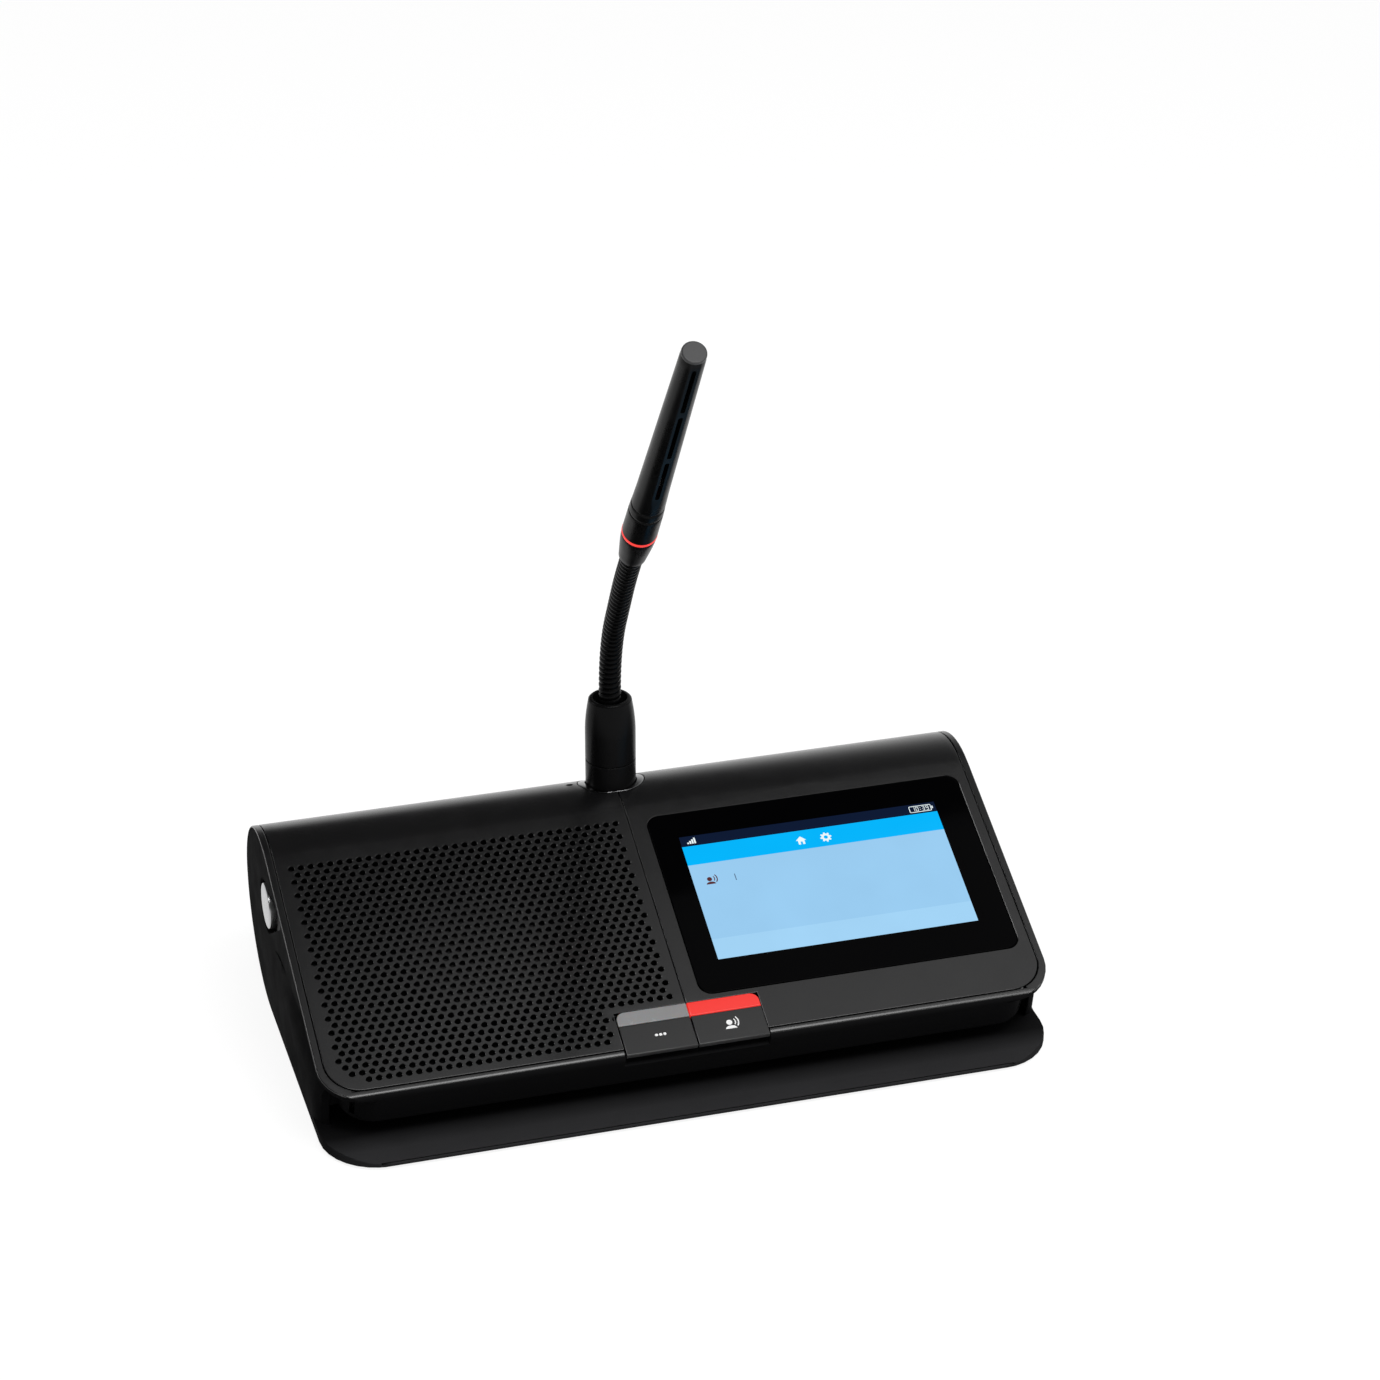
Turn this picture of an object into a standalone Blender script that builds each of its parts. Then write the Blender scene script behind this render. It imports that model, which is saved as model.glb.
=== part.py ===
# Conference delegate unit with a touch screen, a loudspeaker, two buttons and a plug-in gooseneck microphone.
# Metres, +Z up. The origin is on the table under the middle of the unit, +X to the user's right, +Y back.

import math

import bpy
from mathutils import Matrix

# Console
unit_width = 0.258
unit_depth = 0.1446
foot_height = 0.001
panel_tilt = math.radians(23)
rim_front_setback = 0.0069615
rim_front_z = 0.025001
top_radius = 0.030
wall = 0.0025
front_face_height = 0.015
rim_width = 0.0025
rim_front_width = 0.0032
rim_front_round = 0.0026
rim_corner_radius = 0.0145
rim_edge_height = 0.0025
tray_inset = 0.0075
tray_corner_radius = 0.012
gap = 0.0003
overrun = 0.005
arc_steps = 8

# Base plate and the wedge-shaped hollow above it
base_plate_height = 0.0038
base_corner_radius = 0.021
base_nose_radius = 0.0008
base_crown_radius = 0.024
hollow_back_setback = 0.0503
hollow_roof_tilt = math.radians(13.8)
hollow_roof_radius = 0.005
hollow_floor_run = 0.018

# The end walls below the rim, drawn in to a waist that deepens to the front, and the room for them
cheek_thickness = 0.0025
cheek_front_setback = 0.0318
cheek_lean_run = 0.0065
cheek_lap = 0.0006
cheek_foot_height = 0.016
waist_rise = 0.0015
cheek_front_run = 0.0067
cheek_front_turn = 0.0040
cheek_edge_thickness = 0.0006
cheek_run_shares = (0.0, 0.1, 0.26, 0.42, 0.58, 0.72, 0.84, 0.93, 1.0, 1.0, 1.0, 1.0)
cheek_front_run_shares = (0.0, 0.0, 0.0, 0.0, 0.0, 0.0, 0.0, 0.0, 0.0, 0.45, 0.79, 1.0)
cheek_turn_in_shares = (0.0, 0.0, 0.0, 0.0, 0.0, 0.0, 0.0, 0.0, 0.0, 0.12, 0.45, 1.0)
cheek_foot_shares = (1.2, 1.12, 1.04, 0.99, 0.95, 0.9, 0.82, 0.74, 0.66, 0.6, 0.54, 0.5)
waist_depth_shares = (0.0, 0.0, 0.02, 0.16, 0.36, 0.57, 0.75, 0.87, 0.95, 0.97, 0.99, 1.0)
waist_top_shares = (0.0, 0.0, 0.0, 0.05, 0.13, 0.26, 0.44, 0.66, 0.86, 0.94, 0.98, 1.0)
cheek_lean_shares = (0.0, 0.0, 0.0, 0.0, 0.08, 0.2, 0.4, 0.6, 0.8, 0.88, 0.95, 1.0)
waist_curve_shares = ((0.35, 0.22), (0.7, 0.68), (1.0, 1.0))
scoop_roof_rise = 0.0078
scoop_back_overlap = 0.0015
scoop_round_run = 0.016
scoop_round_drop = 0.0108

# Top skins
skin_thickness = 0.002
seam_gap = 0.0005
skin_corner_radius = 0.012
reset_hole_radius = 0.001
reset_hole_x = -0.015
reset_hole_offset = 0.001

# Touch screen
glass_inner_margin = 0.0063
glass_outer_margin = 0.0039
glass_front_margin = 0.0208
glass_back_margin = 0.0056
glass_thickness = 0.0012
glass_corner_radius = 0.0045
glass_ledge = 0.003
glass_ledge_thickness = 0.0005
display_side_margin = 0.006
display_end_margin = 0.0059
display_thickness = 0.004
board_side_margin = 0.003
board_end_margin = 0.004
board_thickness = 0.0016
main_board_depth = 0.011
post_radius = 0.003
post_inset = 0.006

# Buttons
button_width = 0.0250
button_run = 0.0175
button_front_run = 0.0006
button_rise = 0.0005
button_lip_thickness = 0.0018
button_lip_run = 0.0045
button_skirt_depth = 0.0034
button_split = 0.0004
button_corner_radius = 0.003
light_bar_run = 0.0055
light_bar_thickness = 0.0015
well_depth = 0.005
well_floor = 0.0014
stem_size = 0.005
stem_depth = 0.0066
switch_size = 0.006
switch_height = 0.0027
plunger_radius = 0.0015
plunger_height = 0.0006
button_board_depth = 0.0112
button_board_width = 0.052
button_board_run = 0.012

# Loudspeaker
speaker_run = 0.055
speaker_radius = 0.030
speaker_depth = 0.0150
speaker_flange = 0.0015
speaker_flange_width = 0.0035
speaker_top_depth = 0.003
cone_depth = 0.006
cone_thickness = 0.0008
dust_cap_radius = 0.008
dust_cap_rise = 0.002
dust_cap_radius_share = 0.7
dust_cap_rise_share = 0.6
magnet_radius = 0.016
magnet_height = 0.006

# Microphone socket, its trim and the plug
socket_offset = 0.0067
socket_radius = 0.011
socket_length = 0.0197
socket_top_drop = 0.0084
tower_radius = 0.0155
bezel_width = 0.024
bezel_depth = 0.0195
plug_radius = 0.00905
plug_ring_length = 0.0168
spigot_radius = 0.0055
spigot_length = 0.014
shell_top_radius = 0.0076
shell_straight_length = 0.0109
shell_taper_length = 0.013
shell_taper_shares = (0.25, 0.5, 0.75, 0.92)
shell_taper_power = 1.8
shell_shoulder_radius = 0.0012
shell_shoulder_share = 0.25
shell_recess_radius = 0.0062
shell_recess_depth = 0.006

# Gooseneck: straight, bent, straight, bent less, straight
neck_radius = 0.004
neck_groove_radius = 0.0035
neck_bore_radius = 0.0024
neck_pitch = 0.0022
neck_end_run = 0.008
neck_lower_bend = math.radians(30.5)
neck_lower_radius = 0.0639
neck_upper_bend = math.radians(5.2)
neck_upper_run = 0.018
neck_bore_steps = 12

# Microphone head
collar_length = 0.0155
collar_foot_radius = 0.0048
collar_length_shares = (0.0, 0.30, 0.60, 0.90)
collar_radius_shares = (0.0, 0.35, 0.75, 1.0)
head_radius = 0.0061
light_ring_height = 0.0012
light_ring_radius = 0.0062
tube_length = 0.1101
tube_tip_radius = 0.0043
tube_wall = 0.0014
tube_shoulder_run = 0.030
tube_shoulder_share = 0.66
tube_closed_run = 0.012
end_cap_thickness = 0.001
capsule_length = 0.020
slot_width = 0.0016
slot_lengths = (0.0228, 0.0248, 0.0246)
slot_bridge = 0.0028
slot_start = 0.0462

# Volume dials in the end faces
dial_back_run = 0.0048
dial_drop = 0.0211
dial_radius = 0.00925
dial_thickness = 0.0028
dial_dome = 0.0007
dial_radius_shares = (1.0, 0.94, 0.6, 0.0)
dial_dome_shares = (0.0, 0.5, 0.85, 1.0)
dial_pocket_depth = 0.0022
dial_pocket_clearance = 0.0006
dial_pocket_end_radius = 0.0025
dial_pocket_back_run = 0.0255
dial_pocket_drop = 0.0035
dial_shaft_radius = 0.003
encoder_size = 0.012
encoder_thickness = 0.006
encoder_clearance = 0.0014
rear_cavity_margin = 0.006

# Battery and the underside
battery_width = 0.120
battery_front_wall = 0.006
battery_bottom_z = 0.007
battery_ceiling = 0.0042
contacts_width = 0.024
contacts_depth = 0.0024
contacts_height = 0.008
side_cavity_inner_wall = 0.010
side_cavity_outer_wall = 0.021
side_cavity_front_wall = 0.0035
side_cavity_mouth_run = 0.0075
cover_margin = 0.0123
cover_front_margin = 0.0146
cover_back_run = 0.0112
cover_thickness = 0.0018
cover_corner_radius = 0.006
screw_head_radius = 0.0027
screw_head_height = 0.0009
screw_shank_radius = 0.0013
screw_length = 0.0045
screw_back_run = 0.0065
screw_outer_margin = 0.0165
screw_inner_margin = 0.0052
foot_radius = 0.007
foot_side_margin = 0.031
foot_front_margin = 0.0233
foot_back_run = 0.0035

# Worked out from the sizes above: the side view's outline
half_width = unit_width / 2
rear_y = unit_depth / 2
tilt_cos = math.cos(panel_tilt)
tilt_sin = math.sin(panel_tilt)
rim_front_y = rim_front_setback - rear_y
panel_run = (unit_depth - rim_front_setback - top_radius * (1 + tilt_sin)) / tilt_cos
rear_line_z = rim_front_z + panel_run * tilt_sin - top_radius * tilt_cos
back_radius = rear_line_z - foot_height
top_centre = (rear_y - top_radius, rear_line_z)
back_centre = (rear_y - back_radius, rear_line_z)
crown_z = rear_line_z + top_radius
lip = (rim_front_y + front_face_height * tilt_sin, rim_front_z - front_face_height * tilt_cos)

# The base, the hollow and the low side walls
base_top_z = foot_height + base_plate_height
hollow_back_y = rear_y - hollow_back_setback
hollow_roof_slope = math.tan(hollow_roof_tilt)
hollow_roof_z = lip[1] + (hollow_back_y - hollow_roof_radius - lip[0]) * hollow_roof_slope
hollow_side_z = hollow_roof_z - hollow_roof_radius
waist_z = hollow_roof_z + waist_rise
scoop_roof_z = hollow_roof_z + scoop_roof_rise
scoop_back_y = hollow_back_y + scoop_back_overlap
tray_cut_rise = -front_face_height - overrun / 2
cheek_back_y = scoop_back_y + wall
cheek_length = cheek_back_y + rear_y - cheek_front_setback
tray_half_width = half_width - tray_inset
tray_floor_rear_z = hollow_roof_z + wall

# The skins and what lies under them
skin_drop = skin_thickness + gap
skin_half_width = half_width - rim_width - gap
glass_width = skin_half_width - glass_inner_margin - glass_outer_margin
glass_height = panel_run - glass_front_margin - glass_back_margin
glass_centre_x = glass_inner_margin + glass_width / 2
glass_centre_run = glass_front_margin + glass_height / 2
display_width = glass_width - 2 * display_side_margin
display_height = glass_height - 2 * display_end_margin
main_board_width = display_width - 2 * board_side_margin
main_board_height = display_height - 2 * board_end_margin
button_pitch = button_width / 2 + button_split / 2
speaker_x = -(skin_half_width - seam_gap) / 2

# The microphone's place, from the socket up
socket_y = top_centre[0] + socket_offset
socket_top_z = crown_z - socket_top_drop
socket_bottom_z = socket_top_z - socket_length
reset_hole_y = socket_y + reset_hole_offset
plug_ring_top_z = socket_top_z + gap + plug_ring_length
shell_straight_z = plug_ring_top_z + gap + shell_straight_length
shell_top_z = shell_straight_z + shell_taper_length

# The dials, the battery and the underside
dial_run = panel_run - dial_back_run
dial_y = rim_front_y + dial_run * tilt_cos + dial_drop * tilt_sin
dial_z = rim_front_z + dial_run * tilt_sin - dial_drop * tilt_cos
dial_pocket_run = panel_run - dial_pocket_back_run
dial_pocket_end_y = rim_front_y + dial_pocket_run * tilt_cos + dial_pocket_drop * tilt_sin
dial_pocket_end_z = rim_front_z + dial_pocket_run * tilt_sin - dial_pocket_drop * tilt_cos
rear_cavity_front_y = dial_y - encoder_size / 2 - encoder_clearance
battery_front_y = hollow_back_y + battery_front_wall
battery_height = tray_floor_rear_z - battery_ceiling - gap - battery_bottom_z
tunnel_top_z = battery_bottom_z + battery_height + gap
side_cavity_inner_x = battery_width / 2 + side_cavity_inner_wall
side_cavity_outer_x = half_width - side_cavity_outer_wall
side_cavity_front_y = hollow_back_y + side_cavity_front_wall
side_cavity_mouth_y = side_cavity_front_y + side_cavity_mouth_run
cover_back_y = hollow_back_y + cover_back_run
screw_y = hollow_back_y + screw_back_run
screw_outer_x = half_width - screw_outer_margin
screw_inner_x = battery_width / 2 + screw_inner_margin
foot_x = half_width - foot_side_margin
foot_front_y = foot_front_margin - rear_y
foot_back_y = hollow_back_y + foot_back_run

side_view = Matrix(((0, 0, 1, 0), (1, 0, 0, 0), (0, 1, 0, 0), (0, 0, 0, 1)))
front_view = Matrix(((1, 0, 0, 0), (0, 0, -1, 0), (0, 1, 0, 0), (0, 0, 0, 1)))
plan_view = Matrix.Identity(4)
panel_view = Matrix.Translation((0, rim_front_y, rim_front_z)) @ Matrix.Rotation(panel_tilt, 4, "X")


def clear_scene():
    for old in list(bpy.data.objects):
        bpy.data.objects.remove(old, do_unlink=True)


def material(name, colour, roughness, metallic=0.0):
    made = bpy.data.materials.new(name)
    made.use_nodes = True
    shader = made.node_tree.nodes["Principled BSDF"]
    shader.inputs["Base Color"].default_value = (*colour, 1.0)
    shader.inputs["Roughness"].default_value = roughness
    shader.inputs["Metallic"].default_value = metallic
    return made


def add_object(name, vertices, faces, frame):
    mesh = bpy.data.meshes.new(name)
    mesh.from_pydata(vertices, [], faces)
    mesh.update()
    made = bpy.data.objects.new(name, mesh)
    made.matrix_world = frame
    bpy.context.scene.collection.objects.link(made)
    return made


def finish(made, look):
    made.data.materials.clear()
    made.data.materials.append(look)
    made.data.shade_smooth()
    made.data.set_sharp_from_angle(angle=math.radians(35))
    return made


def arc(centre, radius, start, end, steps=arc_steps):
    """Points on a circle from one angle in degrees to another, both ends included."""
    angles = [math.radians(start + (end - start) * i / steps) for i in range(steps + 1)]
    return [(centre[0] + radius * math.cos(a), centre[1] + radius * math.sin(a)) for a in angles]


def turn_way(outline):
    """Twice the outline's area, positive when its points run anticlockwise."""
    pairs = zip(outline, outline[1:] + outline[:1])
    return sum(a[0] * b[1] - b[0] * a[1] for a, b in pairs)


def prism(name, outline, frame, low, high):
    """A closed solid with this outline in the frame's first two axes, from low to high on its third."""
    if turn_way(outline) < 0:
        outline = outline[::-1]
    count = len(outline)
    vertices = [(u, v, low) for u, v in outline] + [(u, v, high) for u, v in outline]
    faces = [tuple(range(count - 1, -1, -1)), tuple(range(count, 2 * count))]
    faces += [(i, (i + 1) % count, count + (i + 1) % count, count + i) for i in range(count)]
    return add_object(name, vertices, faces, frame)


def lathe(name, profile, frame, sides=32):
    """A closed solid turned about the frame's third axis. The profile's (radius, height) points run from
    the lower end to the upper end on the outside, and a radius of zero closes an end in one point."""
    vertices = []
    rings = []
    for radius, height in profile:
        if radius == 0:
            rings.append([len(vertices)])
            vertices.append((0, 0, height))
            continue
        rings.append(list(range(len(vertices), len(vertices) + sides)))
        turns = [2 * math.pi * k / sides for k in range(sides)]
        vertices += [(radius * math.cos(a), radius * math.sin(a), height) for a in turns]
    faces = []
    for low, high in zip(rings, rings[1:]):
        for k in range(sides):
            m = (k + 1) % sides
            if len(low) == 1:
                faces.append((low[0], high[m], high[k]))
            elif len(high) == 1:
                faces.append((low[k], low[m], high[0]))
            else:
                faces.append((low[k], low[m], high[m], high[k]))
    return add_object(name, vertices, faces, frame)


def shape_with(made, operation, tools, solver="EXACT"):
    """Cuts, joins or keeps the common part with each tool, which is left as a hidden guide."""
    for tool in tools:
        tool.hide_render = True
        tool.display_type = "WIRE"
        step = made.modifiers.new(tool.name, "BOOLEAN")
        step.operation = operation
        step.solver = solver
        step.object = tool
    return made


def cut(made, *tools):
    return shape_with(made, "DIFFERENCE", tools)


def join(made, *tools):
    return shape_with(made, "UNION", tools)


def hang_on(axis_empty, *pieces):
    """Parents the pieces to an empty that stands on their joint's axis, without moving them."""
    for piece in pieces:
        place = piece.matrix_world.copy()
        piece.parent = axis_empty
        piece.matrix_parent_inverse = axis_empty.matrix_world.inverted()
        piece.matrix_world = place


def axis_at(name, frame):
    marker = bpy.data.objects.new(name, None)
    marker.matrix_world = frame
    bpy.context.scene.collection.objects.link(marker)
    return marker


def on_panel(run, rise=0):
    """Side-view point at a run up the slope from the rim's front edge, and a rise off the panel."""
    y = rim_front_y + run * tilt_cos - rise * tilt_sin
    z = rim_front_z + run * tilt_sin + rise * tilt_cos
    return (y, z)


def box_outline(left, right, low, high):
    return [(left, low), (right, low), (right, high), (left, high)]


def rounded_box(left, right, low, high, radius, steps=arc_steps):
    outline = arc((right - radius, high - radius), radius, 0, 90, steps)
    outline += arc((left + radius, high - radius), radius, 90, 180, steps)
    outline += arc((left + radius, low + radius), radius, 180, 270, steps)
    outline += arc((right - radius, low + radius), radius, 270, 360, steps)
    return outline


def front_rounded(half, low, high, radius):
    """A rectangle with its two front corners rounded."""
    outline = arc((-half + radius, low + radius), radius, 180, 270)
    outline += arc((half - radius, low + radius), radius, 270, 360)
    return outline + [(half, high), (-half, high)]


def corner_waste(side, half, front, radius):
    """What a rounded front corner leaves of its square, on one side, with some overrun outside."""
    round_edge = arc((half - radius, front + radius), radius, -90, 0)
    outside = [(half + overrun, front + radius), (half + overrun, front - overrun)]
    outside += [(half - radius, front - overrun)]
    return [(side * u, v) for u, v in round_edge + outside]


def upper_surface(drop, run_start):
    """Side-view points from a run on the slope over the rounded top to the rearmost line, lowered by drop."""
    slope_end = 90 + math.degrees(panel_tilt)
    return [on_panel(run_start, -drop)] + arc(top_centre, top_radius - drop, slope_end, 0, 18)


def hollow_edge():
    """Side-view points round the wedge-shaped hollow, from the base plate's top to the front lip."""
    floor_end = hollow_back_y - hollow_floor_run
    side_rise = hollow_side_z - base_top_z
    points = [(floor_end, base_top_z)]
    for i in range(1, arc_steps):
        a = math.radians(90 * i / arc_steps)
        points.append((floor_end + hollow_floor_run * math.sin(a), hollow_side_z - side_rise * math.cos(a)))
    points.append((hollow_back_y, hollow_side_z))
    roof_centre = (hollow_back_y - hollow_roof_radius, hollow_roof_z - hollow_roof_radius)
    points += arc(roof_centre, hollow_roof_radius, 0, 90, 4)[1:]
    return points + [on_panel(0, -front_face_height)]


def housing_outline():
    turn = math.degrees(panel_tilt)
    outline = arc(on_panel(rim_front_round, -rim_front_round), rim_front_round, 180 + turn, 90 + turn, 5)
    outline += upper_surface(0, rim_front_round)[1:]
    outline += arc(back_centre, back_radius, 0, -90, 12)[1:]
    nose = (-rear_y + base_nose_radius, foot_height + base_nose_radius)
    rise = base_crown_radius + base_nose_radius - base_plate_height
    across = math.sqrt((base_crown_radius - base_nose_radius) ** 2 - rise ** 2)
    crown = (nose[0] + across, base_top_z - base_crown_radius)
    heading = math.degrees(math.atan2(rise, -across))
    outline += arc(nose, base_nose_radius, 270, heading, 5)
    outline += arc(crown, base_crown_radius, heading, 90, 5)[1:]
    return outline + hollow_edge()


def scoop_ceiling(y):
    """Height just over the scoop: the rim's underside, and at the back the highest point of its round."""
    under_rim = on_panel(0, -rim_edge_height)
    return min(under_rim[1] + (y - under_rim[0]) * math.tan(panel_tilt), scoop_roof_z)


def cheek(side):
    """The wall that closes one end of the hollow, from the base up to the rim. Its outer face goes straight
    up, then in to the waist, then out again under the rim. Its front end turns in and leans forward."""
    rings = []
    low = base_top_z - base_plate_height / 2
    depth = tray_inset - cheek_lap
    in_plan = zip(cheek_run_shares, cheek_front_run_shares, cheek_turn_in_shares, cheek_lean_shares)
    in_height = zip(cheek_foot_shares, waist_depth_shares, waist_top_shares)
    for plan_shares, height_shares in zip(in_plan, in_height):
        run_share, front_share, turn_share, lean_share = plan_shares
        foot_share, depth_share, top_share = height_shares
        y = cheek_back_y - cheek_length * run_share - cheek_front_run * front_share
        lean = cheek_lean_run * lean_share
        top = scoop_ceiling(y - lean) + cheek_lap
        foot = base_top_z + cheek_foot_height * foot_share
        waist = min(waist_z, top - cheek_lap)
        ceiling = lip[1] + (y - lip[0]) * hollow_roof_slope
        outer = half_width - cheek_front_turn * turn_share
        inner = min(half_width - cheek_thickness, outer - cheek_edge_thickness)
        section = [(inner, ceiling), (inner, low), (outer, low), (outer, foot)]
        for rise_share, in_share in waist_curve_shares:
            x = half_width - depth * depth_share * in_share
            section.append((min(x, outer), foot + (waist - foot) * rise_share))
        section.append((min(half_width - depth * top_share, outer), top))
        section.append((tray_half_width - cheek_lap, top))
        section.append((tray_half_width - cheek_lap, ceiling + cheek_lap))
        rings.append([(side * x, y - lean * (z - low) / (top - low), z) for x, z in section])
    count = len(rings[0])
    vertices = [point for ring in rings for point in ring]
    faces = [tuple(range(count)), tuple(range(len(vertices) - 1, len(vertices) - 1 - count, -1))]
    for start in range(0, len(vertices) - count, count):
        for i in range(count):
            j = (i + 1) % count
            faces.append((start + j, start + i, start + count + i, start + count + j))
    if side > 0:
        faces = [face[::-1] for face in faces]
    return add_object(f"cheek_{side}", vertices, faces, plan_view)


def scoop(side):
    """Room under the rim at one end, from the rim's edge to the hollow, that the end wall partly fills."""
    roof_run = (scoop_roof_z - rim_front_z + rim_edge_height * tilt_cos) / tilt_sin
    round_top = (scoop_back_y - scoop_round_run, scoop_roof_z - scoop_round_drop)
    points = [on_panel(-overrun, -rim_edge_height), on_panel(roof_run, -rim_edge_height)]
    for i in range(arc_steps + 1):
        a = math.radians(90 - 90 * i / arc_steps)
        y = round_top[0] + scoop_round_run * math.cos(a)
        points.append((y, round_top[1] + scoop_round_drop * math.sin(a)))
    points.append((hollow_back_y, hollow_side_z))
    points.append((hollow_back_y - hollow_floor_run, (hollow_side_z + base_top_z) / 2))
    points.append(on_panel(-overrun, tray_cut_rise))
    ends = sorted((side * tray_half_width, side * (half_width + overrun)))
    return prism(f"scoop_{side}", points, side_view, *ends)


def tray_corner(side):
    waste = corner_waste(side, tray_half_width, 0, tray_corner_radius)
    waste = [(side * min(side * u, half_width + overrun), v) for u, v in waste]
    wide = [(u + side * tray_inset if side * u > tray_half_width + gap else u, v) for u, v in waste]
    return prism(f"tray_corner_{side}", wide, panel_view, tray_cut_rise, -rim_edge_height)


def skin_solid(name, drop, left, right, front, corner_half, corner_radius, thickness):
    """A layer of one thickness under the upper surface, with rounded front corners."""
    outer = upper_surface(drop, front)
    inner = upper_surface(drop + thickness, front)
    made = prism(name, outer + inner[::-1], side_view, left, right)
    reach = panel_run + 2 * top_radius
    plan = front_rounded(corner_half, front, reach, corner_radius)
    guide = prism(name + "_plan", plan, panel_view, -unit_depth, top_radius)
    return shape_with(made, "INTERSECT", [guide])


def skin_recess():
    """Everything above the seat of the two skins."""
    seat = upper_surface(skin_drop, rim_front_width)
    above = [(rear_y + overrun, rear_line_z), (rear_y + overrun, rear_line_z + 2 * top_radius)]
    above += [on_panel(rim_front_width, top_radius)]
    half = half_width - rim_width
    made = prism("skin_recess", seat + above, side_view, -half, half)
    plan = front_rounded(half, rim_front_width, panel_run + 2 * top_radius, skin_corner_radius + gap)
    guide = prism("skin_recess_plan", plan, panel_view, -unit_depth, 2 * top_radius)
    return shape_with(made, "INTERSECT", [guide])


def rear_inside(floor_z):
    """Side-view points up the inside of the rear wall."""
    inner_radius = top_radius - skin_drop - wall
    rise = floor_z - rear_line_z
    start = math.degrees(math.asin(max(rise, 0) / inner_radius))
    points = arc(top_centre, inner_radius, start, 50, 6)
    if rise < 0:
        points.insert(0, (points[0][0], floor_z))
    return points + [(points[-1][0], rear_line_z + 2 * top_radius)]


def tray_cavity():
    """The room inside the console, open at the top under the skins, less what stands in it."""
    start = on_panel(wall + gap, -front_face_height)
    floor_start = (start[0], lip[1] + wall + (start[0] - lip[0]) * hollow_roof_slope)
    floor_end = (hollow_back_y - hollow_roof_radius, tray_floor_rear_z)
    points = [on_panel(wall + gap, top_radius), floor_start, floor_end] + rear_inside(tray_floor_rear_z)
    inner_half = tray_half_width - wall
    room = prism("tray_cavity", points, side_view, -inner_half, inner_half)
    wide_points = [(rear_cavity_front_y, rear_line_z + 2 * top_radius)]
    wide_points += [(rear_cavity_front_y, tray_floor_rear_z)] + rear_inside(tray_floor_rear_z)
    wide_half = half_width - rear_cavity_margin
    wide = prism("rear_cavity", wide_points, side_view, -wide_half, wide_half)
    join(room, wide)
    block = box_outline(-button_width - wall, button_width + wall, 0, button_run + button_front_run + wall)
    tower = arc((0, socket_y), tower_radius, 0, 345, 23)
    standing = [
        prism("button_block", block, panel_view, -well_depth - well_floor, top_radius),
        prism("socket_tower", tower, plan_view, foot_height, unit_depth),
        speaker_well(),
    ]
    # The exact solver leaves open edges on the room's front corner.
    return shape_with(room, "DIFFERENCE", standing + board_posts(), "MANIFOLD")


def speaker_well():
    seat = -speaker_top_depth - speaker_flange - gap
    outer = arc((speaker_x, speaker_run), speaker_radius, 0, 350, 35)
    inner = arc((speaker_x, speaker_run), speaker_radius - speaker_flange_width, 0, 350, 35)
    ring = prism("speaker_well", outer, panel_view, -2 * top_radius, seat)
    return cut(ring, prism("speaker_well_bore", inner, panel_view, -2 * top_radius - overrun, seat + overrun))


def board_posts():
    posts = []
    across = main_board_width / 2 - post_inset
    up = main_board_height / 2 - post_inset
    top = -main_board_depth - board_thickness - gap
    for i, (u, v) in enumerate(((-1, -1), (1, -1), (1, 1), (-1, 1))):
        post = arc((glass_centre_x + u * across, glass_centre_run + v * up), post_radius, 0, 330, 11)
        posts.append(prism(f"board_post_{i}", post, panel_view, -unit_depth, top))
    low = -button_board_depth - board_thickness - gap
    for side in (-1, 1):
        post = arc((side * (button_board_width / 2 - post_radius - gap), stem_run()), post_radius, 0, 330, 11)
        posts.append(prism(f"button_post_{side}", post, panel_view, -unit_depth, low))
    return posts


def button_well():
    """Pocket for the two buttons, open to the front, with a finger notch under them."""
    half = button_width + button_split / 2 + gap
    back = button_front_run + button_run + gap
    plan = box_outline(-half, half, -overrun, back)
    pocket = prism("button_well", plan, panel_view, -well_depth, top_radius)
    stems = []
    low = -well_depth - well_floor - overrun
    for side in (-1, 1):
        x = side * button_pitch
        reach = stem_size / 2 + gap
        hole = box_outline(x - reach, x + reach, stem_run() - reach, stem_run() + reach)
        stems.append(prism(f"stem_hole_{side}", hole, panel_view, low, -well_depth / 2))
    return join(pocket, *stems)


def stem_run():
    return button_front_run + (button_run + button_lip_run) / 2


def dial_pocket(side):
    """Finger recess round a dial, drawn out towards the rim."""
    big = dial_radius + dial_pocket_clearance
    small = dial_pocket_end_radius
    dy = dial_pocket_end_y - dial_y
    dz = dial_pocket_end_z - dial_z
    heading = math.degrees(math.atan2(dz, dy))
    spread = math.degrees(math.acos((big - small) / math.hypot(dy, dz)))
    outline = arc((dial_y, dial_z), big, heading + spread, heading + 360 - spread, 24)
    outline += arc((dial_pocket_end_y, dial_pocket_end_z), small, heading - spread, heading + spread, 5)
    ends = sorted((side * (half_width - dial_pocket_depth), side * (half_width + overrun)))
    return prism(f"dial_pocket_{side}", outline, side_view, *ends)


def side_bore(name, side, radius, inner_x, outer_x, y, z, steps=24):
    ends = sorted((side * inner_x, side * outer_x))
    return prism(name, arc((y, z), radius, 0, 360 - 360 / steps, steps - 1), side_view, *ends)


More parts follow.
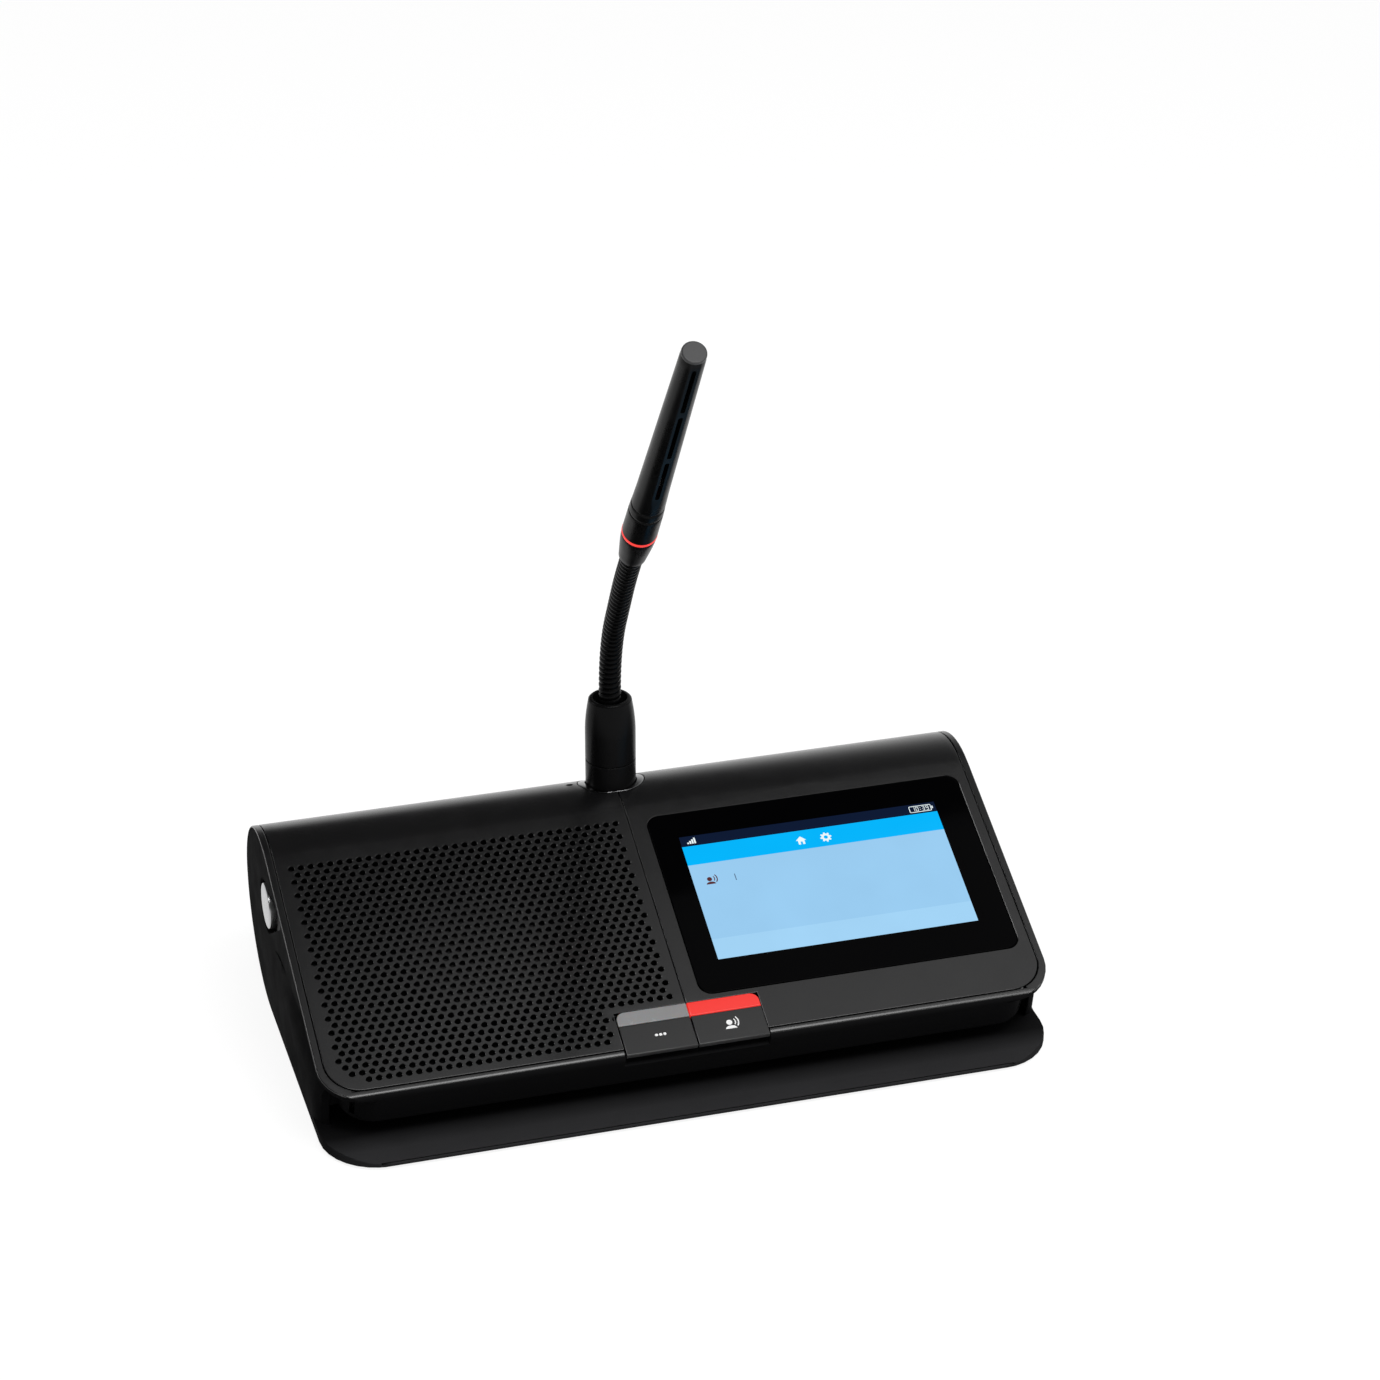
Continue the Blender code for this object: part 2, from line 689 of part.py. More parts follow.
def side_cavity(side):
    """Room beside the battery, closed below by the bottom cover."""
    inner_radius = back_radius - wall
    mouth_z = foot_height + cover_thickness + gap
    points = [(side_cavity_front_y, -overrun), (side_cavity_mouth_y, -overrun)]
    points += [(side_cavity_mouth_y, mouth_z)] + arc(back_centre, inner_radius, -80, -20, 6)
    points.append((points[-1][0], tray_floor_rear_z - wall))
    points.append((side_cavity_front_y, tray_floor_rear_z - wall))
    ends = sorted((side * side_cavity_inner_x, side * side_cavity_outer_x))
    return prism(f"side_cavity_{side}", points, side_view, *ends)


def main_housing(look):
    made = prism("main_housing", housing_outline(), side_view, -half_width, half_width)
    # The exact solver leaves open edges where the flush end walls meet the base.
    shape_with(made, "DIFFERENCE", [scoop(-1), scoop(1), tray_corner(-1), tray_corner(1)], "MANIFOLD")
    shape_with(made, "UNION", [cheek(-1), cheek(1)], "MANIFOLD")
    tools = []
    for side in (-1, 1):
        waste = corner_waste(side, half_width, 0, rim_corner_radius)
        tools.append(prism(f"rim_corner_{side}", waste, panel_view, tray_cut_rise, overrun))
        base_waste = corner_waste(side, half_width, -rear_y, base_corner_radius)
        tools.append(prism(f"base_corner_{side}", base_waste, plan_view, -overrun, base_top_z + gap))
        tools += [side_cavity(side), dial_pocket(side)]
        seat = half_width - dial_thickness - gap
        wide = dial_radius + dial_pocket_clearance
        tools.append(side_bore(f"dial_bore_{side}", side, wide, seat, half_width + overrun, dial_y, dial_z))
        slim = dial_shaft_radius + gap
        deep = half_width - 2 * rear_cavity_margin
        tools.append(side_bore(f"shaft_bore_{side}", side, slim, deep, half_width, dial_y, dial_z))
    tools += [skin_recess(), tray_cavity(), button_well()]
    tools += socket_cuts()
    tunnel_half = battery_width / 2 + gap
    tunnel = box_outline(battery_front_y - gap, rear_y + overrun, battery_bottom_z - gap, tunnel_top_z)
    tools.append(prism("battery_tunnel", tunnel, side_view, -tunnel_half, tunnel_half))
    contact_front = battery_front_y - gap - contacts_depth - gap
    middle = battery_bottom_z + battery_height / 2
    reach = contacts_height / 2 + gap
    pocket = box_outline(contact_front, battery_front_y, middle - reach, middle + reach)
    pocket_half = contacts_width / 2 + gap
    tools.append(prism("contact_pocket", pocket, side_view, -pocket_half, pocket_half))
    cover = cover_outline(gap)
    tools.append(prism("cover_recess", cover, plan_view, -overrun, foot_height + cover_thickness + gap))
    for x in screw_places():
        hole = arc((x, screw_y), screw_shank_radius + gap, 0, 330, 11)
        top = foot_height + screw_length + 2 * gap
        tools.append(prism(f"screw_bore_{x:.3f}", hole, plan_view, -overrun, top))
    shape_with(made, "DIFFERENCE", tools, "MANIFOLD")
    return finish(made, look)


def screw_places():
    return [-screw_outer_x, -screw_inner_x, screw_inner_x, screw_outer_x]


def cover_outline(grow):
    half = half_width - cover_margin + grow
    front = -rear_y + cover_front_margin - grow
    return rounded_box(-half, half, front, cover_back_y + grow, cover_corner_radius + grow, 5)


def socket_cuts():
    """Bore for the socket, and above it the oval for the trim."""
    bore = arc((0, socket_y), socket_radius + gap, 0, 350, 35)
    low = prism("socket_bore", bore, plan_view, socket_bottom_z - gap, socket_top_z + gap)
    seat = prism("bezel_seat", bezel_outline(gap), plan_view, socket_top_z, rear_line_z + 2 * top_radius)
    return [low, seat]


def bezel_outline(grow):
    """An oval of the trim's width and depth: two circles' arcs joined by straight flanks."""
    radius = bezel_depth / 2 + grow
    shift = (bezel_width - bezel_depth) / 2
    outline = arc((shift, socket_y), radius, -90, 90, 16)
    return outline + arc((-shift, socket_y), radius, 90, 270, 16)


def cover_notch():
    """Room in the skins for the two buttons."""
    half = button_width + button_split / 2 + gap
    back = button_front_run + button_run + gap
    return box_outline(-half, half, -overrun, back)


def skin(name, side, look):
    inner = side * seam_gap / 2
    outer = side * skin_half_width
    left, right = sorted((inner, outer))
    front = rim_front_width + gap
    made = skin_solid(name, 0, left, right, front, skin_half_width, skin_corner_radius, skin_thickness)
    tools = [
        prism(name + "_button_notch", cover_notch(), panel_view, -2 * skin_thickness, overrun),
        prism(name + "_bezel_hole", bezel_outline(gap), plan_view, rear_line_z, rear_line_z + 2 * top_radius),
    ]
    if side < 0:
        hole = arc((reset_hole_x, reset_hole_y), reset_hole_radius, 0, 330, 11)
        tools.append(prism("reset_hole", hole, plan_view, rear_line_z, rear_line_z + 2 * top_radius))
    else:
        tools += glass_cuts()
    cut(made, *tools)
    return finish(made, look)


def panel_rectangle(width, height, grow, radius):
    left = glass_centre_x - width / 2 - grow
    right = glass_centre_x + width / 2 + grow
    low = glass_centre_run - height / 2 - grow
    high = glass_centre_run + height / 2 + grow
    return rounded_box(left, right, low, high, radius + grow, 6)


def screen_box(width, height):
    """A plain rectangle on the panel, centred under the glass."""
    left = glass_centre_x - width / 2
    low = glass_centre_run - height / 2
    return box_outline(left, left + width, low, low + height)


def glass_cuts():
    seat = panel_rectangle(glass_width, glass_height, gap, glass_corner_radius)
    opening = panel_rectangle(glass_width, glass_height, -glass_ledge, glass_corner_radius)
    return [
        prism("glass_seat", seat, panel_view, -skin_thickness + glass_ledge_thickness, overrun),
        prism("glass_opening", opening, panel_view, -2 * skin_thickness, overrun),
    ]


def screen_pieces(looks):
    glass = panel_rectangle(glass_width, glass_height, 0, glass_corner_radius)
    finish(prism("touch_glass", glass, panel_view, -glass_thickness, 0), looks["glass"])
    top = -glass_thickness - gap
    outline = screen_box(display_width, display_height)
    finish(prism("display_module", outline, panel_view, top - display_thickness, top), looks["display"])
    outline = screen_box(main_board_width, main_board_height)
    low = -main_board_depth - board_thickness
    finish(prism("main_board", outline, panel_view, low, -main_board_depth), looks["board"])


def button_pieces(side, looks):
    """One key with its light bar, the switch below it, and the empty it slides with."""
    word = "left" if side < 0 else "right"
    inner = side * button_split / 2
    outer = side * (button_split / 2 + button_width)
    back = button_front_run + button_run
    bar_front = back - light_bar_run
    ends = sorted((inner, outer))
    top_outline = box_outline(*ends, button_front_run, bar_front - gap)
    key = prism(f"{word}_button", top_outline, panel_view, button_rise - button_lip_thickness, button_rise)
    skirt_front = button_front_run + button_lip_run
    body_top = button_rise - light_bar_thickness - gap
    rear = [(inner, skirt_front), (outer, skirt_front)] + rounded_back(side, inner, outer, back)
    body = prism(f"{word}_key_body", rear, panel_view, -button_skirt_depth, body_top)
    x = side * button_pitch
    reach = stem_size / 2
    stem_box = box_outline(x - reach, x + reach, stem_run() - reach, stem_run() + reach)
    stem = prism(f"{word}_key_stem", stem_box, panel_view, -stem_depth, -button_skirt_depth + gap)
    join(key, body, stem)
    finish(key, looks["key"])
    bar_outline = [(inner, bar_front), (outer, bar_front)] + rounded_back(side, inner, outer, back)
    bar = prism(f"{word}_light_bar", bar_outline, panel_view, button_rise - light_bar_thickness, button_rise)
    finish(bar, looks["bar_" + word])
    board_top = -button_board_depth
    reach = switch_size / 2
    body_box = box_outline(x - reach, x + reach, stem_run() - reach, stem_run() + reach)
    switch = prism(f"{word}_switch", body_box, panel_view, board_top + gap, board_top + gap + switch_height)
    top = board_top + gap + switch_height
    plunger = arc((x, stem_run()), plunger_radius, 0, 330, 11)
    join(switch, prism(f"{word}_plunger", plunger, panel_view, top - plunger_height, top + plunger_height))
    finish(switch, looks["switch"])
    marker = axis_at(f"{word}_button_axis", panel_view @ Matrix.Translation((x, stem_run(), 0)))
    hang_on(marker, key, bar)


def rounded_back(side, inner, outer, back):
    """The back edge of a key, with its outer corner rounded."""
    centre = (outer - side * button_corner_radius, back - button_corner_radius)
    corner = arc(centre, button_corner_radius, 0 if side > 0 else 180, 90, 5)
    return corner + [(inner, back)]


def button_board(look):
    centre = stem_run()
    half = button_board_width / 2
    outline = box_outline(-half, half, centre - button_board_run / 2, centre + button_board_run / 2)
    low = -button_board_depth - board_thickness
    finish(prism("button_board", outline, panel_view, low, -button_board_depth), look)


def loudspeaker(looks):
    frame = panel_view @ Matrix.Translation((speaker_x, speaker_run, 0))
    top = -speaker_top_depth
    inner = speaker_radius - speaker_flange_width - gap
    back = top - speaker_depth + magnet_height
    basket = [
        (0, back),
        (magnet_radius, back),
        (inner, top - speaker_flange - cone_depth),
        (inner, top - speaker_flange),
        (speaker_radius, top - speaker_flange),
        (speaker_radius, top),
        (inner - wall, top),
        (inner - wall, top - cone_depth),
        (dust_cap_radius, back + wall),
        (0, back + wall),
    ]
    finish(lathe("loudspeaker_frame", basket, frame), looks["basket"])
    rim = inner - wall - gap
    low = back + wall + gap
    cone_slope = (top - cone_depth / 2 - low - cone_thickness) / (rim - dust_cap_radius)
    cone = [
        (0, low),
        (dust_cap_radius, low),
        (rim, low + cone_slope * (rim - dust_cap_radius)),
        (rim, low + cone_slope * (rim - dust_cap_radius) + cone_thickness),
        (dust_cap_radius, low + cone_thickness),
        (dust_cap_radius * dust_cap_radius_share, low + cone_thickness + dust_cap_rise * dust_cap_rise_share),
        (0, low + cone_thickness + dust_cap_rise),
    ]
    finish(lathe("loudspeaker_cone", cone, frame), looks["cone"])
    high = back - gap
    low = high - magnet_height
    magnet = [(0, low), (magnet_radius, low), (magnet_radius, high), (0, high)]
    finish(lathe("loudspeaker_magnet", magnet, frame), looks["magnet"])


def plug_frame(z=0.0):
    return Matrix.Translation((0, socket_y, z))


def socket_pieces(looks):
    bore = spigot_radius + gap
    floor = socket_top_z + gap - spigot_length - gap
    profile = [
        (0, socket_bottom_z),
        (socket_radius, socket_bottom_z),
        (socket_radius, socket_top_z),
        (bore, socket_top_z),
        (bore, floor),
        (0, floor),
    ]
    finish(lathe("mic_socket", profile, plug_frame()), looks["socket"])
    low = socket_top_z + gap
    bezel = prism("socket_bezel", bezel_outline(0), plan_view, low, rear_line_z + 2 * top_radius)
    below = upper_surface(0, 0) + [(rear_y, foot_height), (rim_front_y, foot_height)]
    shape_with(bezel, "INTERSECT", [prism("bezel_surface", below, side_view, -half_width, half_width)])
    hole = arc((0, socket_y), plug_radius + gap, 0, 350, 35)
    cut(bezel, prism("bezel_bore", hole, plan_view, low - overrun, rear_line_z + 3 * top_radius))
    finish(bezel, looks["bezel"])


def plug_pieces(looks):
    seat = socket_top_z + gap
    profile = [
        (0, seat - spigot_length),
        (spigot_radius, seat - spigot_length),
        (spigot_radius, seat),
        (plug_radius, seat),
        (plug_radius, plug_ring_top_z),
        (0, plug_ring_top_z),
    ]
    plug = finish(lathe("mic_plug", profile, plug_frame(), 36), looks["plug"])
    low = plug_ring_top_z + gap
    shell = [(0, low), (plug_radius, low), (plug_radius, shell_straight_z)]
    for share in shell_taper_shares:
        radius = plug_radius - (plug_radius - shell_top_radius) * share ** shell_taper_power
        shell.append((radius, shell_straight_z + shell_taper_length * share))
    bevel = shell_shoulder_radius * shell_shoulder_share
    shell += [
        (shell_top_radius - bevel, shell_top_z - bevel),
        (shell_top_radius - shell_shoulder_radius, shell_top_z),
        (shell_recess_radius, shell_top_z),
        (neck_radius + 2 * gap, shell_top_z - shell_recess_depth + gap),
        (neck_radius + 2 * gap, shell_top_z - shell_recess_depth),
        (0, shell_top_z - shell_recess_depth),
    ]
    shell_piece = finish(lathe("mic_shell", shell, plug_frame(), 36), looks["plug"])
    return [plug, shell_piece]


def neck_stretches():
    """Length and turn of each stretch of the gooseneck, from the plug to the head."""
    lower_run = neck_lower_radius * neck_lower_bend
    return [
        (neck_end_run, 0),
        (lower_run, neck_lower_bend),
        (2 * neck_end_run, 0),
        (neck_upper_run, neck_upper_bend),
        (neck_end_run, 0),
    ]


def neck_point(s):
    """Side-view place and lean (forwards from upright) of the gooseneck's axis at a length s along it."""
    y = socket_y
    z = shell_top_z - shell_recess_depth + gap
    lean = 0
    for run, turn in neck_stretches():
        part = min(s, run)
        share = part / run
        if turn:
            radius = run / turn
            y += radius * (math.cos(lean + turn * share) - math.cos(lean))
            z += radius * (math.sin(lean + turn * share) - math.sin(lean))
        else:
            y -= part * math.sin(lean)
            z += part * math.cos(lean)
        lean += turn * share
        s -= part
        if s <= 0:
            break
    return y, z, lean


def neck_length():
    return sum(run for run, turn in neck_stretches())


def neck_split():
    return neck_end_run + neck_lower_radius * neck_lower_bend + neck_end_run


def tube_along(name, stops, depth, shares):
    """A tube on the gooseneck's axis, through the stops, each with its share of the tube's radius."""
    line = bpy.data.curves.new(name, "CURVE")
    line.dimensions = "3D"
    line.bevel_depth = depth
    line.bevel_resolution = 2
    line.use_fill_caps = True
    spline = line.splines.new("POLY")
    spline.points.add(len(stops) - 1)
    for point, (y, z), share in zip(spline.points, stops, shares):
        point.co = (0, y, z, 1)
        point.radius = share
    guide = bpy.data.objects.new(name + "_line", line)
    bpy.context.scene.collection.objects.link(guide)
    bpy.context.view_layer.update()
    solid = bpy.data.meshes.new_from_object(guide.evaluated_get(bpy.context.evaluated_depsgraph_get()))
    bpy.data.objects.remove(guide, do_unlink=True)
    made = bpy.data.objects.new(name, solid)
    bpy.context.scene.collection.objects.link(made)
    return made


def neck_piece(name, start, end, look):
    """A ribbed length of the gooseneck: each rib has a crest and a groove."""
    ribs = int((end - start) / neck_pitch)
    lengths = [start + (end - start) * i / (2 * ribs) for i in range(2 * ribs + 1)]
    shares = [1 if i % 2 else neck_groove_radius / neck_radius for i in range(2 * ribs + 1)]
    made = tube_along(name, [neck_point(s)[:2] for s in lengths], neck_radius, shares)
    steps = neck_bore_steps
    first = neck_point(start)
    last = neck_point(end)
    bore = [(first[0] + overrun * math.sin(first[2]), first[1] - overrun * math.cos(first[2]))]
    bore += [neck_point(start + (end - start) * i / steps)[:2] for i in range(1, steps)]
    bore += [(last[0] - overrun * math.sin(last[2]), last[1] + overrun * math.cos(last[2]))]
    cut(made, tube_along(name + "_bore", bore, neck_bore_radius, [1] * len(bore)))
    return finish(made, look)


def head_frame():
    """Frame of the microphone head: the third axis runs along it from the gooseneck's end."""
    y, z, lean = neck_point(neck_length())
    return Matrix.Translation((0, y, z)) @ Matrix.Rotation(lean, 4, "X")


def head_pieces(looks):
    frame = head_frame()
    collar_top = gap + collar_length
    swell = head_radius - collar_foot_radius
    collar = [(0, gap)]
    for length_share, radius_share in zip(collar_length_shares, collar_radius_shares):
        collar.append((collar_foot_radius + swell * radius_share, gap + collar_length * length_share))
    collar += [(head_radius, collar_top), (0, collar_top)]
    pieces = [finish(lathe("mic_collar", collar, frame, 28), looks["plug"])]
    ring_low = collar_top + gap
    ring_top = ring_low + light_ring_height
    ring = [(0, ring_low), (light_ring_radius, ring_low), (light_ring_radius, ring_top), (0, ring_top)]
    pieces.append(finish(lathe("light_ring", ring, frame, 28), looks["ring"]))
    low = ring_top + gap
    tip = low + tube_length
    bore = tube_tip_radius - tube_wall
    tube = [
        (0, low),
        (head_radius, low),
        (head_radius - gap, low + tube_shoulder_run * tube_shoulder_share),
        (head_radius - 2 * gap, low + tube_shoulder_run),
        (tube_tip_radius, tip),
        (bore, tip),
        (bore, low + tube_closed_run),
        (0, low + tube_closed_run),
    ]
    made = lathe("mic_tube", tube, frame, 28)
    start = slot_start
    slots = []
    for i, length in enumerate(slot_lengths):
        outline = box_outline(-slot_width / 2, slot_width / 2, start, start + length)
        slots.append(prism(f"slot_{i}", outline, frame @ front_view, -2 * head_radius, 2 * head_radius))
        start += length + slot_bridge
    cut(made, *slots)
    pieces.append(finish(made, looks["plug"]))
    capsule_low = low + tube_closed_run + gap
    capsule_high = capsule_low + capsule_length
    radius = bore - gap
    capsule = [(0, capsule_low), (radius, capsule_low), (radius, capsule_high), (0, capsule_high)]
    pieces.append(finish(lathe("mic_capsule", capsule, frame, 20), looks["steel"]))
    cap_low = tip + gap
    cap_radius = tube_tip_radius - gap
    cap = [
        (0, cap_low),
        (tube_tip_radius, cap_low),
        (tube_tip_radius, cap_low + end_cap_thickness / 2),
        (cap_radius, cap_low + end_cap_thickness),
        (0, cap_low + end_cap_thickness),
    ]
    pieces.append(finish(lathe("mic_end_cap", cap, frame, 28), looks["end_cap"]))
    return pieces


def microphone(looks):
    plug_axis = axis_at("plug_axis", plug_frame(socket_top_z))
    plug = plug_pieces(looks)
    lower = neck_piece("gooseneck_lower", 0, neck_split(), looks["neck"])
    hang_on(plug_axis, *plug, lower)
    y, z, lean = neck_point(neck_split() / 2)
    bend_axis = axis_at("neck_bend_axis", Matrix.Translation((0, y, z)))
    hang_on(plug_axis, bend_axis)
    upper = neck_piece("gooseneck_upper", neck_split() + gap, neck_length(), looks["neck"])
    hang_on(bend_axis, upper)
    y, z, lean = neck_point((neck_split() + neck_length()) / 2)
    swing_axis = axis_at("head_swing_axis", Matrix.Translation((0, y, z)) @ Matrix.Rotation(lean, 4, "X"))
    hang_on(bend_axis, swing_axis)
    hang_on(swing_axis, *head_pieces(looks))


def dial_pieces(side, looks):
    word = "left" if side < 0 else "right"
    outwards = Matrix.Rotation(side * math.pi / 2, 4, "Y")
    frame = Matrix.Translation((side * half_width, dial_y, dial_z)) @ outwards
    encoder_outer = -rear_cavity_margin - gap
    shaft_end = encoder_outer - encoder_thickness / 2
    profile = [
        (0, shaft_end),
        (dial_shaft_radius, shaft_end),
        (dial_shaft_radius, -dial_thickness),
        (dial_radius, -dial_thickness),
    ]
    for radius_share, rise_share in zip(dial_radius_shares, dial_dome_shares):
        profile.append((dial_radius * radius_share, dial_dome * rise_share))
    dial = finish(lathe(f"{word}_dial", profile, frame), looks["dial"])
    half = encoder_size / 2
    outline = box_outline(dial_y - half, dial_y + half, dial_z - half, dial_z + half)
    outer = half_width + encoder_outer
    ends = sorted((side * outer, side * (outer - encoder_thickness)))
    encoder = prism(f"{word}_encoder", outline, side_view, *ends)
    bore = side_bore(
        f"{word}_encoder_bore",
        side,
        dial_shaft_radius + gap,
        half_width + shaft_end - gap,
        outer + overrun,
        dial_y,
        dial_z,
        16,
    )
    cut(encoder, bore)
    finish(encoder, looks["steel"])
    hang_on(axis_at(f"{word}_dial_axis", frame), dial)


def battery_pieces(looks):
    low = battery_bottom_z
    high = battery_bottom_z + battery_height
    start = math.degrees(math.asin((low - rear_line_z) / back_radius))
    end = math.degrees(math.asin((high - rear_line_z) / back_radius))
    outline = [(battery_front_y, high), (battery_front_y, low)] + arc(back_centre, back_radius, start, end, 8)
    half = battery_width / 2
    pack = finish(prism("battery_pack", outline, side_view, -half, half), looks["battery"])
    hang_on(axis_at("battery_axis", Matrix.Translation((0, battery_front_y, low))), pack)
    middle = low + battery_height / 2
    front = battery_front_y - gap - contacts_depth
    reach = contacts_height / 2
    outline = box_outline(front, front + contacts_depth, middle - reach, middle + reach)
    half = contacts_width / 2
    finish(prism("battery_contacts", outline, side_view, -half, half), looks["brass"])


def underside(looks):
    plate = prism("bottom_cover", cover_outline(0), plan_view, foot_height, foot_height + cover_thickness)
    holes = []
    head_top = foot_height + screw_head_height + 2 * gap
    through = foot_height + 2 * cover_thickness
    for x in screw_places():
        sink = arc((x, screw_y), screw_head_radius + gap, 0, 345, 23)
        holes.append(prism(f"screw_sink_{x:.3f}", sink, plan_view, -overrun, head_top))
        hole = arc((x, screw_y), screw_shank_radius + gap, 0, 330, 11)
        holes.append(prism(f"screw_hole_{x:.3f}", hole, plan_view, -overrun, through))
    cut(plate, *holes)
    finish(plate, looks["plate"])
    for i, x in enumerate(screw_places()):
        low = foot_height + gap
        profile = [
            (0, low),
            (screw_head_radius, low),
            (screw_head_radius, low + screw_head_height),
            (screw_shank_radius, low + screw_head_height),
            (screw_shank_radius, low + screw_length),
            (0, low + screw_length),
        ]
        screw = lathe(f"cover_screw_{i + 1}", profile, Matrix.Translation((x, screw_y, 0)), 16)
        finish(screw, looks["steel"])
    places = [(-foot_x, foot_front_y), (foot_x, foot_front_y), (foot_x, foot_back_y), (-foot_x, foot_back_y)]
    for i, (x, y) in enumerate(places):
        top = foot_height - gap
        profile = [(0, 0), (foot_radius, 0), (foot_radius, top), (0, top)]
        finish(lathe(f"foot_{i + 1}", profile, Matrix.Translation((x, y, 0)), 24), looks["rubber"])


def make_looks():
    black = (0.012, 0.012, 0.013)
    return {
        "housing": material("housing_plastic", black, 0.45),
        "skin": material("skin_plastic", (0.014, 0.014, 0.015), 0.42),
        "glass": material("touch_glass", (0.002, 0.002, 0.003), 0.08),
        "display": material("display", (0.30, 0.62, 0.90), 0.30),
        "board": material("circuit_board", (0.02, 0.12, 0.05), 0.50),
        "key": material("key_plastic", (0.016, 0.016, 0.018), 0.38),
        "bar_left": material("clear_bar", (0.20, 0.20, 0.20), 0.30),
        "bar_right": material("red_bar", (0.85, 0.05, 0.04), 0.30),
        "switch": material("switch_body", (0.05, 0.05, 0.05), 0.50),
        "basket": material("speaker_basket", (0.05, 0.05, 0.055), 0.50, 0.6),
        "cone": material("speaker_cone", (0.04, 0.04, 0.04), 0.80),
        "magnet": material("speaker_magnet", (0.10, 0.10, 0.11), 0.55, 0.5),
        "socket": material("socket_plastic", black, 0.50),
        "bezel": material("bright_trim", (0.75, 0.76, 0.77), 0.25, 1.0),
        "plug": material("microphone_metal", black, 0.35, 0.2),
        "neck": material("gooseneck_metal", (0.010, 0.010, 0.011), 0.45, 0.3),
        "ring": material("light_ring", (0.95, 0.06, 0.05), 0.30),
        "end_cap": material("end_disc", (0.10, 0.10, 0.11), 0.40, 0.3),
        "steel": material("steel", (0.45, 0.45, 0.46), 0.35, 1.0),
        "dial": material("dial_metal", (0.55, 0.56, 0.57), 0.35, 0.9),
        "battery": material("battery_case", (0.016, 0.016, 0.018), 0.50),
        "brass": material("contact_brass", (0.75, 0.58, 0.28), 0.35, 1.0),
        "plate": material("painted_plate", (0.015, 0.015, 0.016), 0.55, 0.3),
        "rubber": material("foot_rubber", (0.02, 0.02, 0.02), 0.85),
    }


def build():
    clear_scene()
    looks = make_looks()
    main_housing(looks["housing"])
    skin("speaker_cover", -1, looks["skin"])
    skin("screen_cover", 1, looks["skin"])
    screen_pieces(looks)
    button_board(looks["board"])
    loudspeaker(looks)
    socket_pieces(looks)
    battery_pieces(looks)
    underside(looks)
    for side in (-1, 1):
        button_pieces(side, looks)
        dial_pieces(side, looks)
    microphone(looks)


build()
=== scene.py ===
# Looks of a conference delegate unit: console, touch screen, grille, two keys with light bars, gooseneck
# microphone.
# Metres, +Z up, +X to the user's right, +Y to the back.
import math

import bmesh
import bpy
import numpy as np
from mathutils import Matrix, Vector
from mathutils.geometry import delaunay_2d_cdt


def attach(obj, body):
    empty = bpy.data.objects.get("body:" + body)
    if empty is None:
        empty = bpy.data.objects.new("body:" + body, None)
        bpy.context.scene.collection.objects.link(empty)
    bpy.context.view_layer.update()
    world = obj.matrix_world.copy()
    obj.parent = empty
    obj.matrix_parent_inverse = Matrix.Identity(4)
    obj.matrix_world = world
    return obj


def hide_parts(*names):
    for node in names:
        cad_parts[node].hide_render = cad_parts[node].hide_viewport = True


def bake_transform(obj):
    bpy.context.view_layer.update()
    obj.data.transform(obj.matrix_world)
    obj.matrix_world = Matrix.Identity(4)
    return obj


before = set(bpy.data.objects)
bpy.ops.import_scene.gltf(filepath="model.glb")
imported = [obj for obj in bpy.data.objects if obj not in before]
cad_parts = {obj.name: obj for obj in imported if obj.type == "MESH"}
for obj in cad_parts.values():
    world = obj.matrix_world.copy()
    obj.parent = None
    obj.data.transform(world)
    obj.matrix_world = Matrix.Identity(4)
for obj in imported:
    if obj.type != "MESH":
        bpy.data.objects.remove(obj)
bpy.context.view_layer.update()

mm = 0.001
same_place = 1e-7
same_corner = 2e-6
flat_within = math.radians(0.2)

# Console surface: a slope, then a rounded top
tilt = math.radians(23)
panel_run = 104.2 * mm
top_radius = 30 * mm
top_y = 42.3 * mm
top_z = 38.1 * mm
half_width = 129 * mm
skin_half = 126.2 * mm
skin_front = 3.5 * mm
skin_corner = 12 * mm
skin_thickness = 2 * mm
skin_edge = 0.25 * mm
seam_half = 0.15 * mm
gap = 0.3 * mm
rim_rounding = 0.5 * mm
one_step_rim = 0.2 * mm
housing_edge = 0.35 * mm
top_depth = 0.4 * mm
on_rim_within = 0.1 * mm
glass_opening_edge = 0.15 * mm
top_margin = 2 * mm
oval_margin = 1.5 * mm

# Grille of small holes
hole_radius = 1.1 * mm
hole_edge = 0.16 * mm
hole_step_x = 1.70885 * mm
hole_step_run = 2.9226 * mm
hole_first_x = -62.86 * mm
hole_first_run = 57.17 * mm
hole_sides = 12
reset_place = (-15 * mm, 50 * mm)
reset_radius = 1.2 * mm

# Keys and light bars
key_width = 25 * mm
key_split = 0.4 * mm
key_front = 0.6 * mm
key_back = 18.1 * mm
key_rise = 0.5 * mm
key_corner = 3 * mm
key_lip = 1.8 * mm
key_edge = 0.3 * mm
key_bar_gap = 0.15 * mm
block_front = 5.1 * mm
block_depth = 1.3 * mm
block_height = 2.1 * mm
stem_half = 2.5 * mm
stem_front = 8.8 * mm
stem_back = 13.8 * mm
stem_depth = 3.1 * mm
stem_height = 3.5 * mm
inner_edge = 0.1 * mm
bar_front = 12.6 * mm
bar_thickness = 1.5 * mm
bar_edge = 0.3 * mm
dot_radius = 0.55 * mm
dot_places = (-13.3 * mm, -11.85 * mm, -10.4 * mm)
dot_run = 7.0 * mm
key_icon_place = (12.7 * mm, 7.2 * mm)

